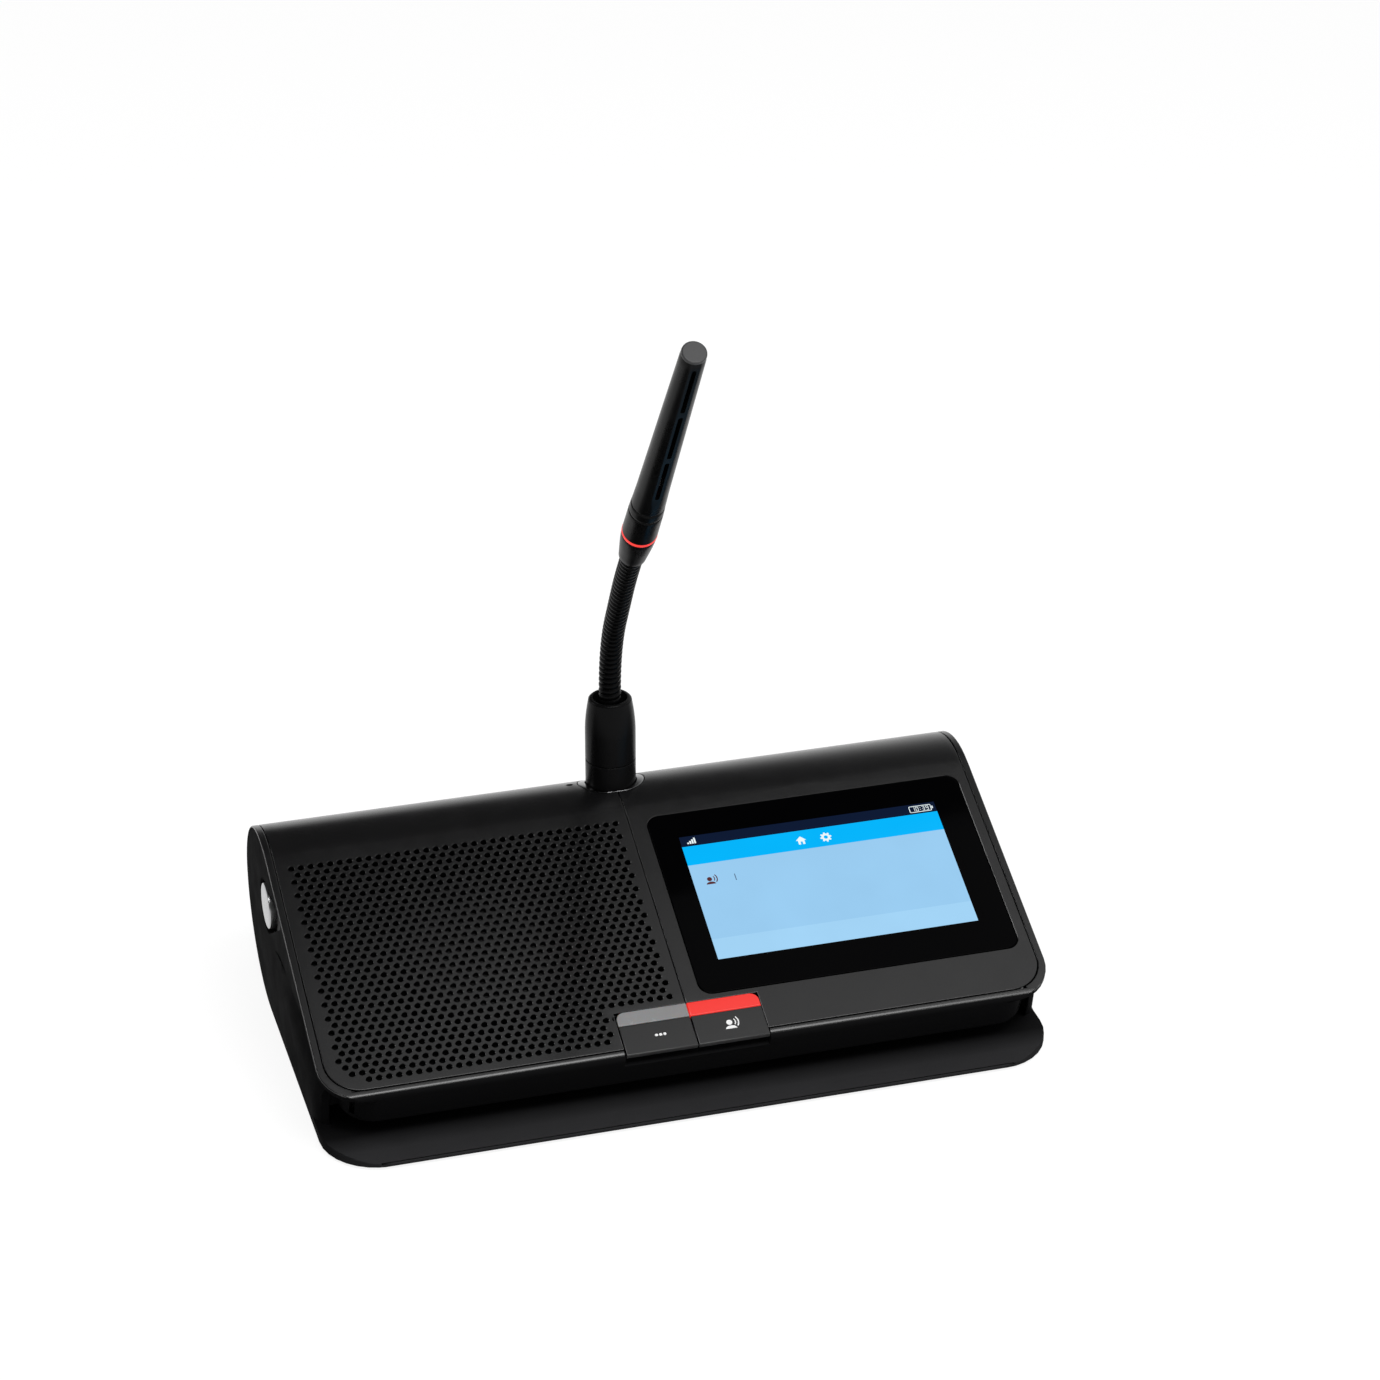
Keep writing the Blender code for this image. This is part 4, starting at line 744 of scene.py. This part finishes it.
def skin_outline(side):
    """The outline of one skin on the console's surface, anticlockwise: rounded front corner, key notch,
    seam with half of the trim's oval, and the rear edge."""
    notch = key_width + key_split / 2 + gap
    notch_back = key_back + gap
    end_run = panel_run + top_radius * (math.pi / 2 + tilt)
    corner = arc(skin_half - skin_corner, skin_front + skin_corner, skin_corner, 270, 360, 10)
    outer = np.linspace(skin_front + skin_corner, end_run, 40)[1:-1]
    rear = np.linspace(skin_half, seam_half, 30)
    reach = bezel_radius + gap
    oval = arc(bezel_shift, socket_y, reach, 90, -90, 28)
    oval = oval[oval[:, 0] > seam_half]
    oval = np.stack([oval[:, 0], run_at(oval[:, 1])], 1)
    seam_up = np.linspace(end_run, run_at(socket_y + reach), 12)[1:-1]
    seam_down = np.linspace(run_at(socket_y - reach), notch_back, 24)
    points = [
        corner,
        np.stack([np.full(len(outer), skin_half), outer], 1),
        np.stack([rear, np.full(len(rear), end_run)], 1),
        np.stack([np.full(len(seam_up), seam_half), seam_up], 1),
        [(seam_half, run_at(socket_y + reach))],
        oval,
        np.stack([np.full(len(seam_down), seam_half), seam_down], 1),
        [(notch, notch_back), (notch, skin_front)],
    ]
    loop = np.concatenate([np.asarray(p, float) for p in points])
    if side < 0:
        loop = (loop * (-1, 1))[::-1]
    return loop


def top_points(side):
    """Free points on the rounded top: evenly spaced rows along it, clear of the edges and the holes."""
    end_run = panel_run + top_radius * (math.pi / 2 + tilt)
    runs = np.linspace(panel_run, end_run, 24)[:-1]
    across = np.linspace(top_margin, skin_half - top_margin, 42)
    x, run = [g.ravel() for g in np.meshgrid(across, runs)]
    near_oval = np.hypot(x - bezel_shift, run - run_at(socket_y)) < bezel_radius + oval_margin
    if side < 0:
        reset = np.hypot(x + reset_place[0], run - run_at(reset_place[1])) < top_margin
        near_oval = near_oval | reset
    return np.stack([side * x, run], 1)[~near_oval]


def grille_centres():
    """The grille's staggered rows: columns half a pitch apart, used in turn. The lowest rows are shorter."""
    rows = np.arange(-17, 15)
    a, b = [g.ravel() for g in np.meshgrid(np.arange(-34, 35), rows)]
    last = np.select([b == -13, b == -14, b == -15, b == -16, b == -17], [19, 22, 19, 20, 19], 34)
    first = np.select([b == -16, b == -17], [-32, -29], -34)
    real = ((a + b) % 2 == 0) & (a <= last) & (a >= first)
    return np.stack([hole_first_x + a * hole_step_x, hole_first_run + b * hole_step_run], 1)[real]


def skin(side, holes, rim, free):
    """One of the two skins, with its holes and their walls in a near-black look, which is painted shade inside
    the holes.
    """
    name = "grille_skin" if side < 0 else "screen_skin"
    node = "speaker_cover" if side < 0 else "screen_cover"
    made = plate(
        name, skin_outline(side), holes, on_surface, skin_thickness, skin_edge, rim, [skin_look, painted_shade_look],
        free=free, wall_look=1,
    )
    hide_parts(node)
    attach(made, "console")
    return made


centres = grille_centres()
round_hole = circle(0, 0, hole_radius, hole_sides)
grille_holes = [round_hole + c for c in centres]
reset_hole = circle(reset_place[0], run_at(reset_place[1]), reset_radius, hole_sides)
skin(-1, grille_holes + [reset_hole], hole_edge, top_points(-1))

glass_box = (
    glass_middle[0] - glass_size[0] / 2,
    glass_middle[0] + glass_size[0] / 2,
    glass_middle[1] - glass_size[1] / 2,
    glass_middle[1] + glass_size[1] / 2,
)
glass_loop = rounded_rectangle(*glass_box, glass_corner, 10)
skin(1, [grown(glass_loop, gap)], glass_opening_edge, top_points(1))


# ---- Touch glass with its lit screen

def shifted(loops, x, y, scale=1.0):
    """Icon loops, drawn round zero in millimetres, put at a place and size."""
    return [np.asarray(loop, float) * scale * mm + (x, y) for loop in loops]


def ring_part(x, y, inner, outer, start, end, steps=10):
    """Part of a ring: the outer arc and back along the inner one."""
    return np.concatenate([arc(x, y, outer, start, end, steps), arc(x, y, inner, end, start, steps)])


def speaking_person():
    """A head, shoulders, and two sound waves on the right, in millimetres."""
    crown = arc(0.05, -2.2, 2.0, 0, 180, 14)[1:-1] * (1, 0.62) + (0, -0.84)
    shoulders = np.concatenate([[(-1.95, -2.2), (2.05, -2.2)], crown])
    return [
        circle(-0.15, 0.35, 1.05, 20),
        shoulders,
        ring_part(0.35, 0.4, 1.45, 1.85, -42, 42),
        ring_part(0.35, 0.4, 2.5, 2.95, -42, 42),
    ]


def gear():
    """A ring with eight teeth: the radius steps between two values as the angle goes round."""
    a = np.radians(np.arange(0, 360, 7.5))
    radius = np.where((np.arange(len(a)) // 3) % 2 == 0, 1.75, 1.3)
    return np.stack([radius * np.cos(a), radius * np.sin(a)], 1)


def house():
    """Half of a house with a door, from the door's top to the ridge, and its mirror image."""
    right = np.array([(0.35, -0.4), (0.35, -1.5), (1.1, -1.5), (1.1, 0.1), (1.75, 0.1), (0, 1.7)])
    return np.concatenate([right, (right * (-1, 1))[-2::-1]])


def digit(number):
    """A plain digit on seven strokes, each a slim rectangle."""
    strokes = {
        "a": (-0.4, 0.4, 0.75, 0.95), "b": (0.3, 0.5, 0.0, 0.95), "c": (0.3, 0.5, -0.95, 0.0),
        "d": (-0.4, 0.4, -0.95, -0.75), "e": (-0.5, -0.3, -0.95, 0.0), "f": (-0.5, -0.3, 0.0, 0.95),
        "g": (-0.4, 0.4, -0.1, 0.1),
    }
    lit = {"0": "abcdef", "1": "bc", "3": "abgcd", "9": "abcdfg"}[number]
    return [rectangle(*strokes[s]) for s in lit]


def screen_inlays():
    """The display's fields from the top down, then the signs on them, each with its look's number."""
    across = (screen_left, screen_right)
    inlays = [
        (rectangle(*across, band_high, screen_high), navy),
        (rectangle(*across, body_high, band_high), azure),
        (rectangle(*across, footer_high, body_high), sky),
        (rectangle(*across, screen_low, footer_high), pale),
    ]
    for i in range(4):
        left = signal_place[0] + i * signal_step[0]
        high = signal_place[1] + signal_bar[1] + i * signal_step[1]
        inlays.append((rectangle(left, left + signal_bar[0], signal_place[1], high), white))
    clock = rounded_rectangle(*clock_box, clock_corner, 3)
    inlays += [(clock, white), (grown(clock, -clock_line), navy), (rectangle(*clock_nub), white)]
    for x, number in clock_digits:
        inlays += [(loop, white) for loop in shifted(digit(number), x, clock_middle)]
    for height in colon_heights:
        inlays.append((rectangle(colon_left, colon_right, height - colon_half, height + colon_half), white))
    signs = (
        ([house()], house_place, white),
        ([gear()], gear_place, white),
        ([circle(0, 0, gear_bore, 16)], gear_place, azure),
        (speaking_person(), person_place, dark),
        (digit("1"), number_place, slate),
    )
    for loops, place, look in signs:
        inlays += [(loop, look) for loop in shifted(loops, *place)]
    return inlays


glass = plate(
    "touch_glass_face",
    glass_loop,
    [],
    on_surface,
    glass_thickness,
    glass_edge,
    0.0,
    [glass_look, *screen_looks],
    screen_inlays(),
)
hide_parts("touch_glass")
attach(glass, "console")


# ---- Keys and light bars

def lowered(by):
    """Places on the slope, lowered square to it by that much."""
    return lambda x, run, depth: on_surface(x, run, depth + by)


def key_corner_loop(side, front, back, radius):
    """A rectangle over one key's width with its outer back corner rounded, anticlockwise."""
    inner = key_split / 2
    outer = inner + key_width
    corner = arc(outer - radius, back - radius, radius, 0, 90, 10)
    loop = np.concatenate([[(inner, front), (outer, front)], corner, [(inner, back)]])
    return loop if side > 0 else (loop * (-1, 1))[::-1]


def key(side, body, icon):
    """A key: its top with the icon, the block under it, the stem on its switch, and its light bar."""
    word = "left" if side < 0 else "right"
    inner = key_split / 2
    ends = sorted((side * inner, side * (inner + key_width)))
    middle = side * (inner + key_width / 2)
    raised = lowered(-key_rise)
    looks = [key_look, print_look]
    loop = rectangle(*ends, key_front, bar_front - key_bar_gap)
    top = plate(word + "_key_top", loop, [], raised, key_lip, key_edge, 0.0, looks, icon)
    loop = key_corner_loop(side, block_front, key_back, key_corner)
    deep = lowered(block_depth)
    block = plate(word + "_key_block", loop, [], deep, block_height, inner_edge, 0.0, [key_look])
    loop = rectangle(middle - stem_half, middle + stem_half, stem_front, stem_back)
    deep = lowered(stem_depth)
    stem = plate(word + "_key_stem", loop, [], deep, stem_height, inner_edge, 0.0, [key_look])
    made = joined(word + "_key_cap", top, block, stem)
    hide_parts(word + "_button")
    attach(made, body)
    loop = key_corner_loop(side, bar_front, key_back, key_corner)
    look = clear_bar_look if side < 0 else red_bar_look
    bar = plate(word + "_bar_lens", loop, [], raised, bar_thickness, bar_edge, 0.0, [look])
    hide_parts(word + "_light_bar")
    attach(bar, body)


dots = [(circle(x, dot_run, dot_radius, 16), 1) for x in dot_places]
person = [(loop, 1) for loop in shifted(speaking_person(), *key_icon_place)]
key(-1, "left_key", dots)
key(1, "right_key", person)


# ---- Socket trim, plug and shell

def socket_trim():
    """A ring whose inner edge is the plug's circle and whose outer edge is an oval, with rounded edges. Its
    height is the console's top circle at each place in the plan, down to one level."""
    a = np.linspace(0, 2 * math.pi, bezel_sides, endpoint=False)
    inner = np.stack([np.cos(a), np.sin(a)], 1) * (plug_radius + gap)
    outer = np.stack([bezel_shift * np.sign(np.cos(a)) + bezel_radius * np.cos(a), bezel_radius * np.sin(a)], 1)
    share = np.array([0, 0, 0.04, 0.2, 0.8, 0.96, 1, 1])[:, None, None]
    drop = np.array([1, 0.25, 0.08, 0, 0, 0.08, 0.25, 1])[:, None]
    plan = inner + (outer - inner) * share
    y = plan[..., 1] + socket_y
    surface = top_z + np.sqrt(top_radius ** 2 - (y - top_y) ** 2)
    z = np.where(drop == 1, bezel_low, surface - drop * bezel_drop)
    points = np.stack([plan[..., 0], y, z], -1).reshape(-1, 3)
    return add_piece("socket_trim", points, [grid_faces(len(share), bezel_sides, closed_rows=True)], bezel_look)


trim = socket_trim()
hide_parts("socket_bezel")
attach(trim, "console")

plug_place = Matrix.Translation((0, socket_y, 0))
spigot_low = plug_low - spigot_length
plug_profile = [
    (0, spigot_low), (spigot_radius, spigot_low), (spigot_radius, plug_low), (plug_radius, plug_low),
    (plug_radius, plug_high), (0, plug_high),
]
plug = turned("plug_ring", eased(plug_profile, plug_edge), plug_place, mic_look, plug_sides)
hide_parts("mic_plug")
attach(plug, "microphone_plug")


def shell_profile():
    """Straight wall, then a taper whose radius falls with a power of the height, a rounded rim and
    the countersunk recess round the gooseneck."""
    share = np.linspace(0, taper_end, 14)
    radius = plug_radius - (plug_radius - shell_top_radius) * share ** taper_power
    taper = np.stack([radius, shell_straight + (shell_high - shell_straight) * share], 1)
    low = plug_high + shell_gap
    foot = [(0, low), (plug_radius - shell_foot_inset, low), (plug_radius, plug_high + shell_foot_rise)]
    rim = arc(shell_top_radius - shell_rim, shell_high - shell_rim, shell_rim, 10, 90, 6)
    bore = neck_radius + recess_wall
    floor = shell_high - recess_depth
    recess = [(recess_radius, shell_high), (bore, floor + recess_step), (bore, floor), (0, floor)]
    return np.concatenate([foot, taper, rim, eased(recess, recess_edge)])


shell = turned("plug_shell", shell_profile(), plug_place, mic_look, plug_sides)
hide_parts("mic_shell")
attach(shell, "microphone_plug")


# ---- Gooseneck

def neck_axis(s):
    """Place and lean of the gooseneck's axis at lengths s: the lean grows evenly in each bent stretch, and
    the place is the running sum of (-sin lean, cos lean) along the length."""
    runs = np.array([run for run, turn in neck_stretches]) * mm
    turns = np.radians([turn for run, turn in neck_stretches])
    at = np.concatenate([[0], np.cumsum(runs)])
    leans = np.concatenate([[0], np.cumsum(turns)])
    fine = np.linspace(0, at[-1], neck_axis_points)
    lean = np.interp(fine, at, leans)
    step = fine[1]
    y = socket_y - np.concatenate([[0], np.cumsum((np.sin(lean[1:]) + np.sin(lean[:-1])) / 2)]) * step
    z = neck_foot + np.concatenate([[0], np.cumsum((np.cos(lean[1:]) + np.cos(lean[:-1])) / 2)]) * step
    return np.interp(s, fine, y), np.interp(s, fine, z), np.interp(s, at, leans)


def ribbed_neck(name, start, end):
    """A tube on the gooseneck's axis, wound like a spring: the radius at a length s and an angle a is the
    groove's plus the rib's height times the root of |sin(pi (s / pitch - a / 2 pi))|."""
    rows = int((end - start) / neck_pitch * neck_rows_per_rib) + 1
    s = np.linspace(start, end, rows)
    a = np.linspace(0, 2 * math.pi, neck_sides, endpoint=False)
    phase = s[:, None] / neck_pitch - a[None, :] / (2 * math.pi)
    radius = neck_groove + (neck_radius - neck_groove) * np.sqrt(np.abs(np.sin(math.pi * phase)))
    radius = np.concatenate([0 * radius[:1], radius, 0 * radius[-1:]])
    s = np.concatenate([s[:1], s, s[-1:]])
    y, z, lean = neck_axis(s)
    y, z, lean = y[:, None], z[:, None], lean[:, None]
    forward = radius * np.sin(a)
    points = np.stack([radius * np.cos(a), y + forward * np.cos(lean), z + forward * np.sin(lean)], -1)
    return add_piece(name, points.reshape(-1, 3), [grid_faces(len(s), neck_sides)], neck_look, sharp=75)


lower_neck = ribbed_neck("neck_winding_lower", 0, neck_split)
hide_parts("gooseneck_lower")
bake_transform(lower_neck)
upper_neck = ribbed_neck("neck_winding_upper", neck_split, neck_length)
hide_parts("gooseneck_upper")
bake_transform(upper_neck)


# ---- Microphone head

def head_place():
    """The head's frame: at the gooseneck's end, leaning as it does there."""
    y, z, lean = neck_axis(neck_length)
    return Matrix.Translation((0, float(y), float(z))) @ Matrix.Rotation(float(lean), 4, "X")


head = head_place()
collar_top = gap + collar_length
ring_low = collar_top + ring_lift
tube_low = collar_top + ring_height + 2 * gap


def on_head(made, node):
    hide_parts(node)
    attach(made, "microphone_head")


collar_line = [(radius, gap + height) for radius, height in collar_stations]
collar_line += [(head_radius, gap + collar_full), (head_radius, collar_top - collar_edge)]
collar_line += [(head_radius - collar_edge, collar_top)]
collar_line = eased(collar_line, collar_bend)
collar_profile = np.concatenate([[(0, gap), (collar_foot, gap)], collar_line, [(0, collar_top)]])
collar = turned("head_collar", collar_profile, head, mic_look, head_sides)
on_head(collar, "mic_collar")
ring_heights = [ring_low] + [ring_low + step for step in ring_steps]
ring_radii = [ring_radius - ring_inset, ring_radius, ring_radius, ring_radius - ring_inset]
ring_profile = [(0, ring_heights[0]), *zip(ring_radii, ring_heights), (0, ring_heights[-1])]
glow_ring = turned("glow_ring", eased(ring_profile, small_edge), head, ring_look, head_sides)
on_head(glow_ring, "light_ring")


def head_tube():
    """A tube along the head's axis. Its radius follows a line of stations, with two grooves near its foot;
    at the front and the back a flat cuts it, so that there the radius is the flat's distance over
    |cos angle|. Columns of the grid run along the edges of the slots, whose half width falls at their ends
    as a circle does. The cells inside the slots are left out, in the outer and the inner surface, and walls
    join the two."""
    tip = tube_low + tube_length
    starts = slot_first + np.concatenate([[0], np.cumsum(np.array(slot_lengths) + slot_bridge)[:-1]])
    ends = starts + slot_lengths
    near = np.array([0, 0.12, 0.35, 0.7, 1.0]) * slot_half
    stations = [np.linspace(tube_low, tip, 60)]
    for at in groove_heights:
        stations.append(at + np.array([-2, -1, 0, 1, 2]) * groove_width)
    for start, end in zip(starts, ends):
        stations += [start + near, end - near]
    h = np.unique(np.round(np.concatenate(stations), 7))
    h = h[np.concatenate([[True], np.diff(h) > least_station])]
    h[-1] = tip
    stations = np.array([(tube_low, head_radius), *head_stations, (tip, tube_tip)])
    plain = np.interp(h, stations[:, 0], stations[:, 1])
    groove = groove_depth * sum(np.exp(-((h - at) / groove_width) ** 2) for at in groove_heights)
    in_slot = [np.clip(np.minimum(h - start, end - h), 0, slot_half) for start, end in zip(starts, ends)]
    depth_in = np.max(in_slot, 0)
    half = np.sqrt(np.maximum(slot_half ** 2 - (slot_half - depth_in) ** 2, slot_end_half ** 2))
    edge_angle = np.arcsin(half / plain)
    wide_angle = np.arcsin(slot_flat_half / plain)
    steps = np.concatenate([np.linspace(0, 1, 5), np.linspace(1, 2, 6)[1:], np.linspace(2, 3, 20)[1:]])
    quarter = np.full(len(h), math.pi / 2)
    knots = np.stack([np.zeros(len(h)), edge_angle, wide_angle, quarter], 1)
    lower = np.clip(np.floor(steps).astype(int), 0, 2)
    part = steps - lower
    quarter_angles = knots[:, lower] * (1 - part) + knots[:, lower + 1] * part
    angles = np.concatenate([
        quarter_angles,
        math.pi - quarter_angles[:, -2::-1],
        math.pi + quarter_angles[:, 1:],
        2 * math.pi - quarter_angles[:, -2:0:-1],
    ], 1)
    columns = angles.shape[1]
    per_quarter = len(steps)
    flat_share = np.clip((h - slot_flat) / slot_flat_run, 0, 1)
    distance = plain - flat_share * (plain - np.sqrt(plain ** 2 - slot_flat_half ** 2))
    radius = np.minimum((plain - groove)[:, None], distance[:, None] / np.maximum(np.abs(np.cos(angles)), 0.05))
    rim = np.exp(-((h - tip) / tip_rounding) ** 2) * tip_rounding
    radius = radius - rim[:, None]
    inner = np.broadcast_to((plain - tube_wall)[:, None], radius.shape)
    outer_points = np.stack([radius * np.cos(angles), radius * np.sin(angles), h[:, None] + 0 * angles], -1)
    inner_points = np.stack([inner * np.cos(angles), inner * np.sin(angles), h[:, None] + 0 * angles], -1)
    count = len(h) * columns
    faces = grid_faces(len(h), columns).reshape(len(h) - 1, columns, 4)
    column = np.arange(columns)
    first = (per_quarter - 1) * 2
    offset = np.minimum(column % first, first - 1 - column % first)
    between = (h[:-1] + h[1:]) / 2
    rows_open = np.any([(between > start) & (between < end) for start, end in zip(starts, ends)], 0)
    open_cell = rows_open[:, None] & (offset < 4)[None, :]
    keep = ~open_cell
    outer_faces = faces[keep]
    inner_faces = faces[keep][:, ::-1] + count
    walls = []
    for shift_rows, shift_columns, corner in ((-1, 0, (0, 1)), (1, 0, (2, 3)), (0, 1, (1, 2)), (0, -1, (3, 0))):
        beside = np.roll(open_cell, (-shift_rows, -shift_columns), (0, 1))
        a, b = faces[keep & beside][:, corner].T
        walls.append(np.stack([a, b, b + count, a + count], 1))
    after = (column + 1) % columns
    foot = np.stack([column, after, after + count, column + count], 1)
    top = foot + (len(h) - 1) * columns
    points = np.concatenate([outer_points.reshape(-1, 3), inner_points.reshape(-1, 3)])
    points = points @ np.array(((0, 1, 0), (-1, 0, 0), (0, 0, 1)))
    polygons = [outer_faces, inner_faces, *walls, foot, top]
    return add_piece("head_tube", moved(points, head), polygons, mic_look, sharp=32)


on_head(head_tube(), "mic_tube")
tip_height = tube_low + tube_length
cap_line = [(tube_tip - inset, tip_height + rise) for inset, rise in cap_steps]
cap_line = [(0, cap_line[0][1]), *cap_line, (0, cap_line[-1][1])]
end_cap = turned("end_disc_cap", eased(cap_line, small_edge), head, end_look, head_sides)
on_head(end_cap, "mic_end_cap")


# ---- Dials, battery, underside

for side, word in ((-1, "left"), (1, "right")):
    place = Matrix.Translation((side * half_width, dial_y, dial_z))
    place = place @ Matrix.Rotation(side * math.pi / 2, 4, "Y")
    share = np.linspace(1, 0, 12)
    dome = np.stack([(dial_radius - dial_rise) * share, dial_rise - dial_dome * share ** 2], 1)
    stem = [(0, -dial_stem_depth), (dial_stem_radius, -dial_stem_depth), (dial_stem_radius, -dial_depth)]
    disc = [(dial_radius - small_edge, -dial_depth), (dial_radius, 2 * dial_edge - dial_depth)]
    disc += [(dial_radius, -dial_dome), (dial_radius - dial_edge, 0)]
    profile = np.concatenate([stem, disc, dome])
    dial = turned(word + "_dial_disc", profile, place, dial_look, dial_sides)
    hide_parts(word + "_dial")
    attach(dial, word + "_volume")

battery = merged_copy("battery_case", "battery_pack", battery_edge, battery_look, 3)
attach(battery, "battery")
cover = merged_copy("underside_plate", "bottom_cover", plate_edge, plate_look)
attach(cover, "console")

node_looks = (
    (display_look, ["display_module"]),
    (board_look, ["main_board", "button_board"]),
    (switch_look, ["left_switch", "right_switch"]),
    (basket_look, ["loudspeaker_frame"]),
    (cone_look, ["loudspeaker_cone"]),
    (magnet_look, ["loudspeaker_magnet"]),
    (socket_look, ["mic_socket"]),
    (brass_look, ["battery_contacts"]),
    (steel_look, ["left_encoder", "right_encoder", "mic_capsule", *[f"cover_screw_{i}" for i in range(1, 5)]]),
    (rubber_look, [f"foot_{i}" for i in range(1, 5)]),
)
for look, nodes in node_looks:
    for node in nodes:
        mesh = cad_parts[node].data
        mesh.materials.clear()
        mesh.materials.append(look)


# ---- Studio

def add_camera():
    data = bpy.data.cameras.new("camera")
    camera = new_object("camera", data)
    right = Vector(camera_right).normalized()
    forward = Vector(camera_forward).normalized()
    up = right.cross(forward)
    place = Matrix((right, up, -forward)).transposed().to_4x4()
    place.translation = camera_place
    camera.matrix_world = place
    data.sensor_width = camera_sensor
    data.lens = camera_lens
    data.clip_start, data.clip_end = camera_clip
    bpy.context.scene.camera = camera


def add_floor():
    """A wide pale floor. The camera sees it lit to white, with the object's shadow on it."""
    mesh = bpy.data.meshes.new("floor")
    r = floor_reach
    corners = [(-r, -r, 0), (r, -r, 0), (r, r, 0), (-r, r, 0)]
    mesh.from_pydata(corners, [], [(0, 1, 2, 3)])
    floor = new_object("floor", mesh)
    look, tree, shader = new_look("floor")
    shader.inputs["Base Color"].default_value = (0.20, 0.20, 0.20, 1)
    shader.inputs["Roughness"].default_value = 0.9
    shader.inputs["Specular IOR Level"].default_value = 0.0
    shader.inputs["Emission Color"].default_value = (1, 1, 1, 1)
    path = add_node(tree, "ShaderNodeLightPath").outputs
    through = worked(tree, "MAXIMUM", path["Is Glossy Ray"], path["Is Transmission Ray"])
    seen = worked(tree, "MAXIMUM", path["Is Camera Ray"], through)
    link(tree, worked(tree, "MULTIPLY", seen, floor_glow), shader.inputs["Emission Strength"])
    mesh.materials.append(look)


def add_world():
    """White to the camera. To the object, a sky that is white at the horizon and dark overhead, and that
    fades at a lower height on the left: its height z is first multiplied by 1 + sky_turn (sky_side - x),
    held between the two values of sky_held."""
    world = bpy.data.worlds.new("studio")
    bpy.context.scene.world = world
    world.use_nodes = True
    tree = world.node_tree
    background = tree.nodes["Background"]
    parts = add_node(tree, "ShaderNodeSeparateXYZ")
    link(tree, add_node(tree, "ShaderNodeTexCoord").outputs["Generated"], parts.inputs[0])
    turn = worked(tree, "MULTIPLY_ADD", parts.outputs["X"], -sky_turn, 1 + sky_turn * sky_side)
    held = add_node(tree, "ShaderNodeClamp", Min=sky_held[0], Max=sky_held[1])
    link(tree, turn, held.inputs["Value"])
    height = worked(tree, "MULTIPLY", parts.outputs["Z"], held.outputs[0])
    fade = faded(tree, height, *sky_fade, 1.0, sky_least, interpolation_type="SMOOTHSTEP")
    path = add_node(tree, "ShaderNodeLightPath").outputs
    link(tree, worked(tree, "MAXIMUM", path["Is Camera Ray"], fade), background.inputs["Strength"])
    background.inputs["Color"].default_value = (1, 1, 1, 1)


def add_lamp(name, place, target, size, size_y, level):
    """A rectangular softbox whose face has that level of light: its power is pi times level times area."""
    data = bpy.data.lights.new(name, "AREA")
    data.shape = "RECTANGLE"
    data.size = size
    data.size_y = size_y
    data.energy = math.pi * level * size * size_y
    lamp = new_object(name, data)
    lamp.location = place
    lamp.rotation_euler = (Vector(target) - Vector(place)).to_track_quat("-Z", "Y").to_euler()
    lamp.visible_camera = False


add_camera()
add_floor()
add_world()
add_lamp("softbox_overhead", (0.37, -0.19, 1.25), (0.363, -0.14, 0.0), 0.74, 0.91, 1.0)
add_lamp("softbox_front", (0.12, -1.12, 2.1), (0.0, -0.05, 0.02), 1.6, 0.9, 7.5)
add_lamp("softbox_left", (-1.45, 0.88, 0.95), (0.0, 0.0, 0.05), 0.5, 0.35, 8.0)

bpy.context.scene.view_settings.view_transform = "Standard"
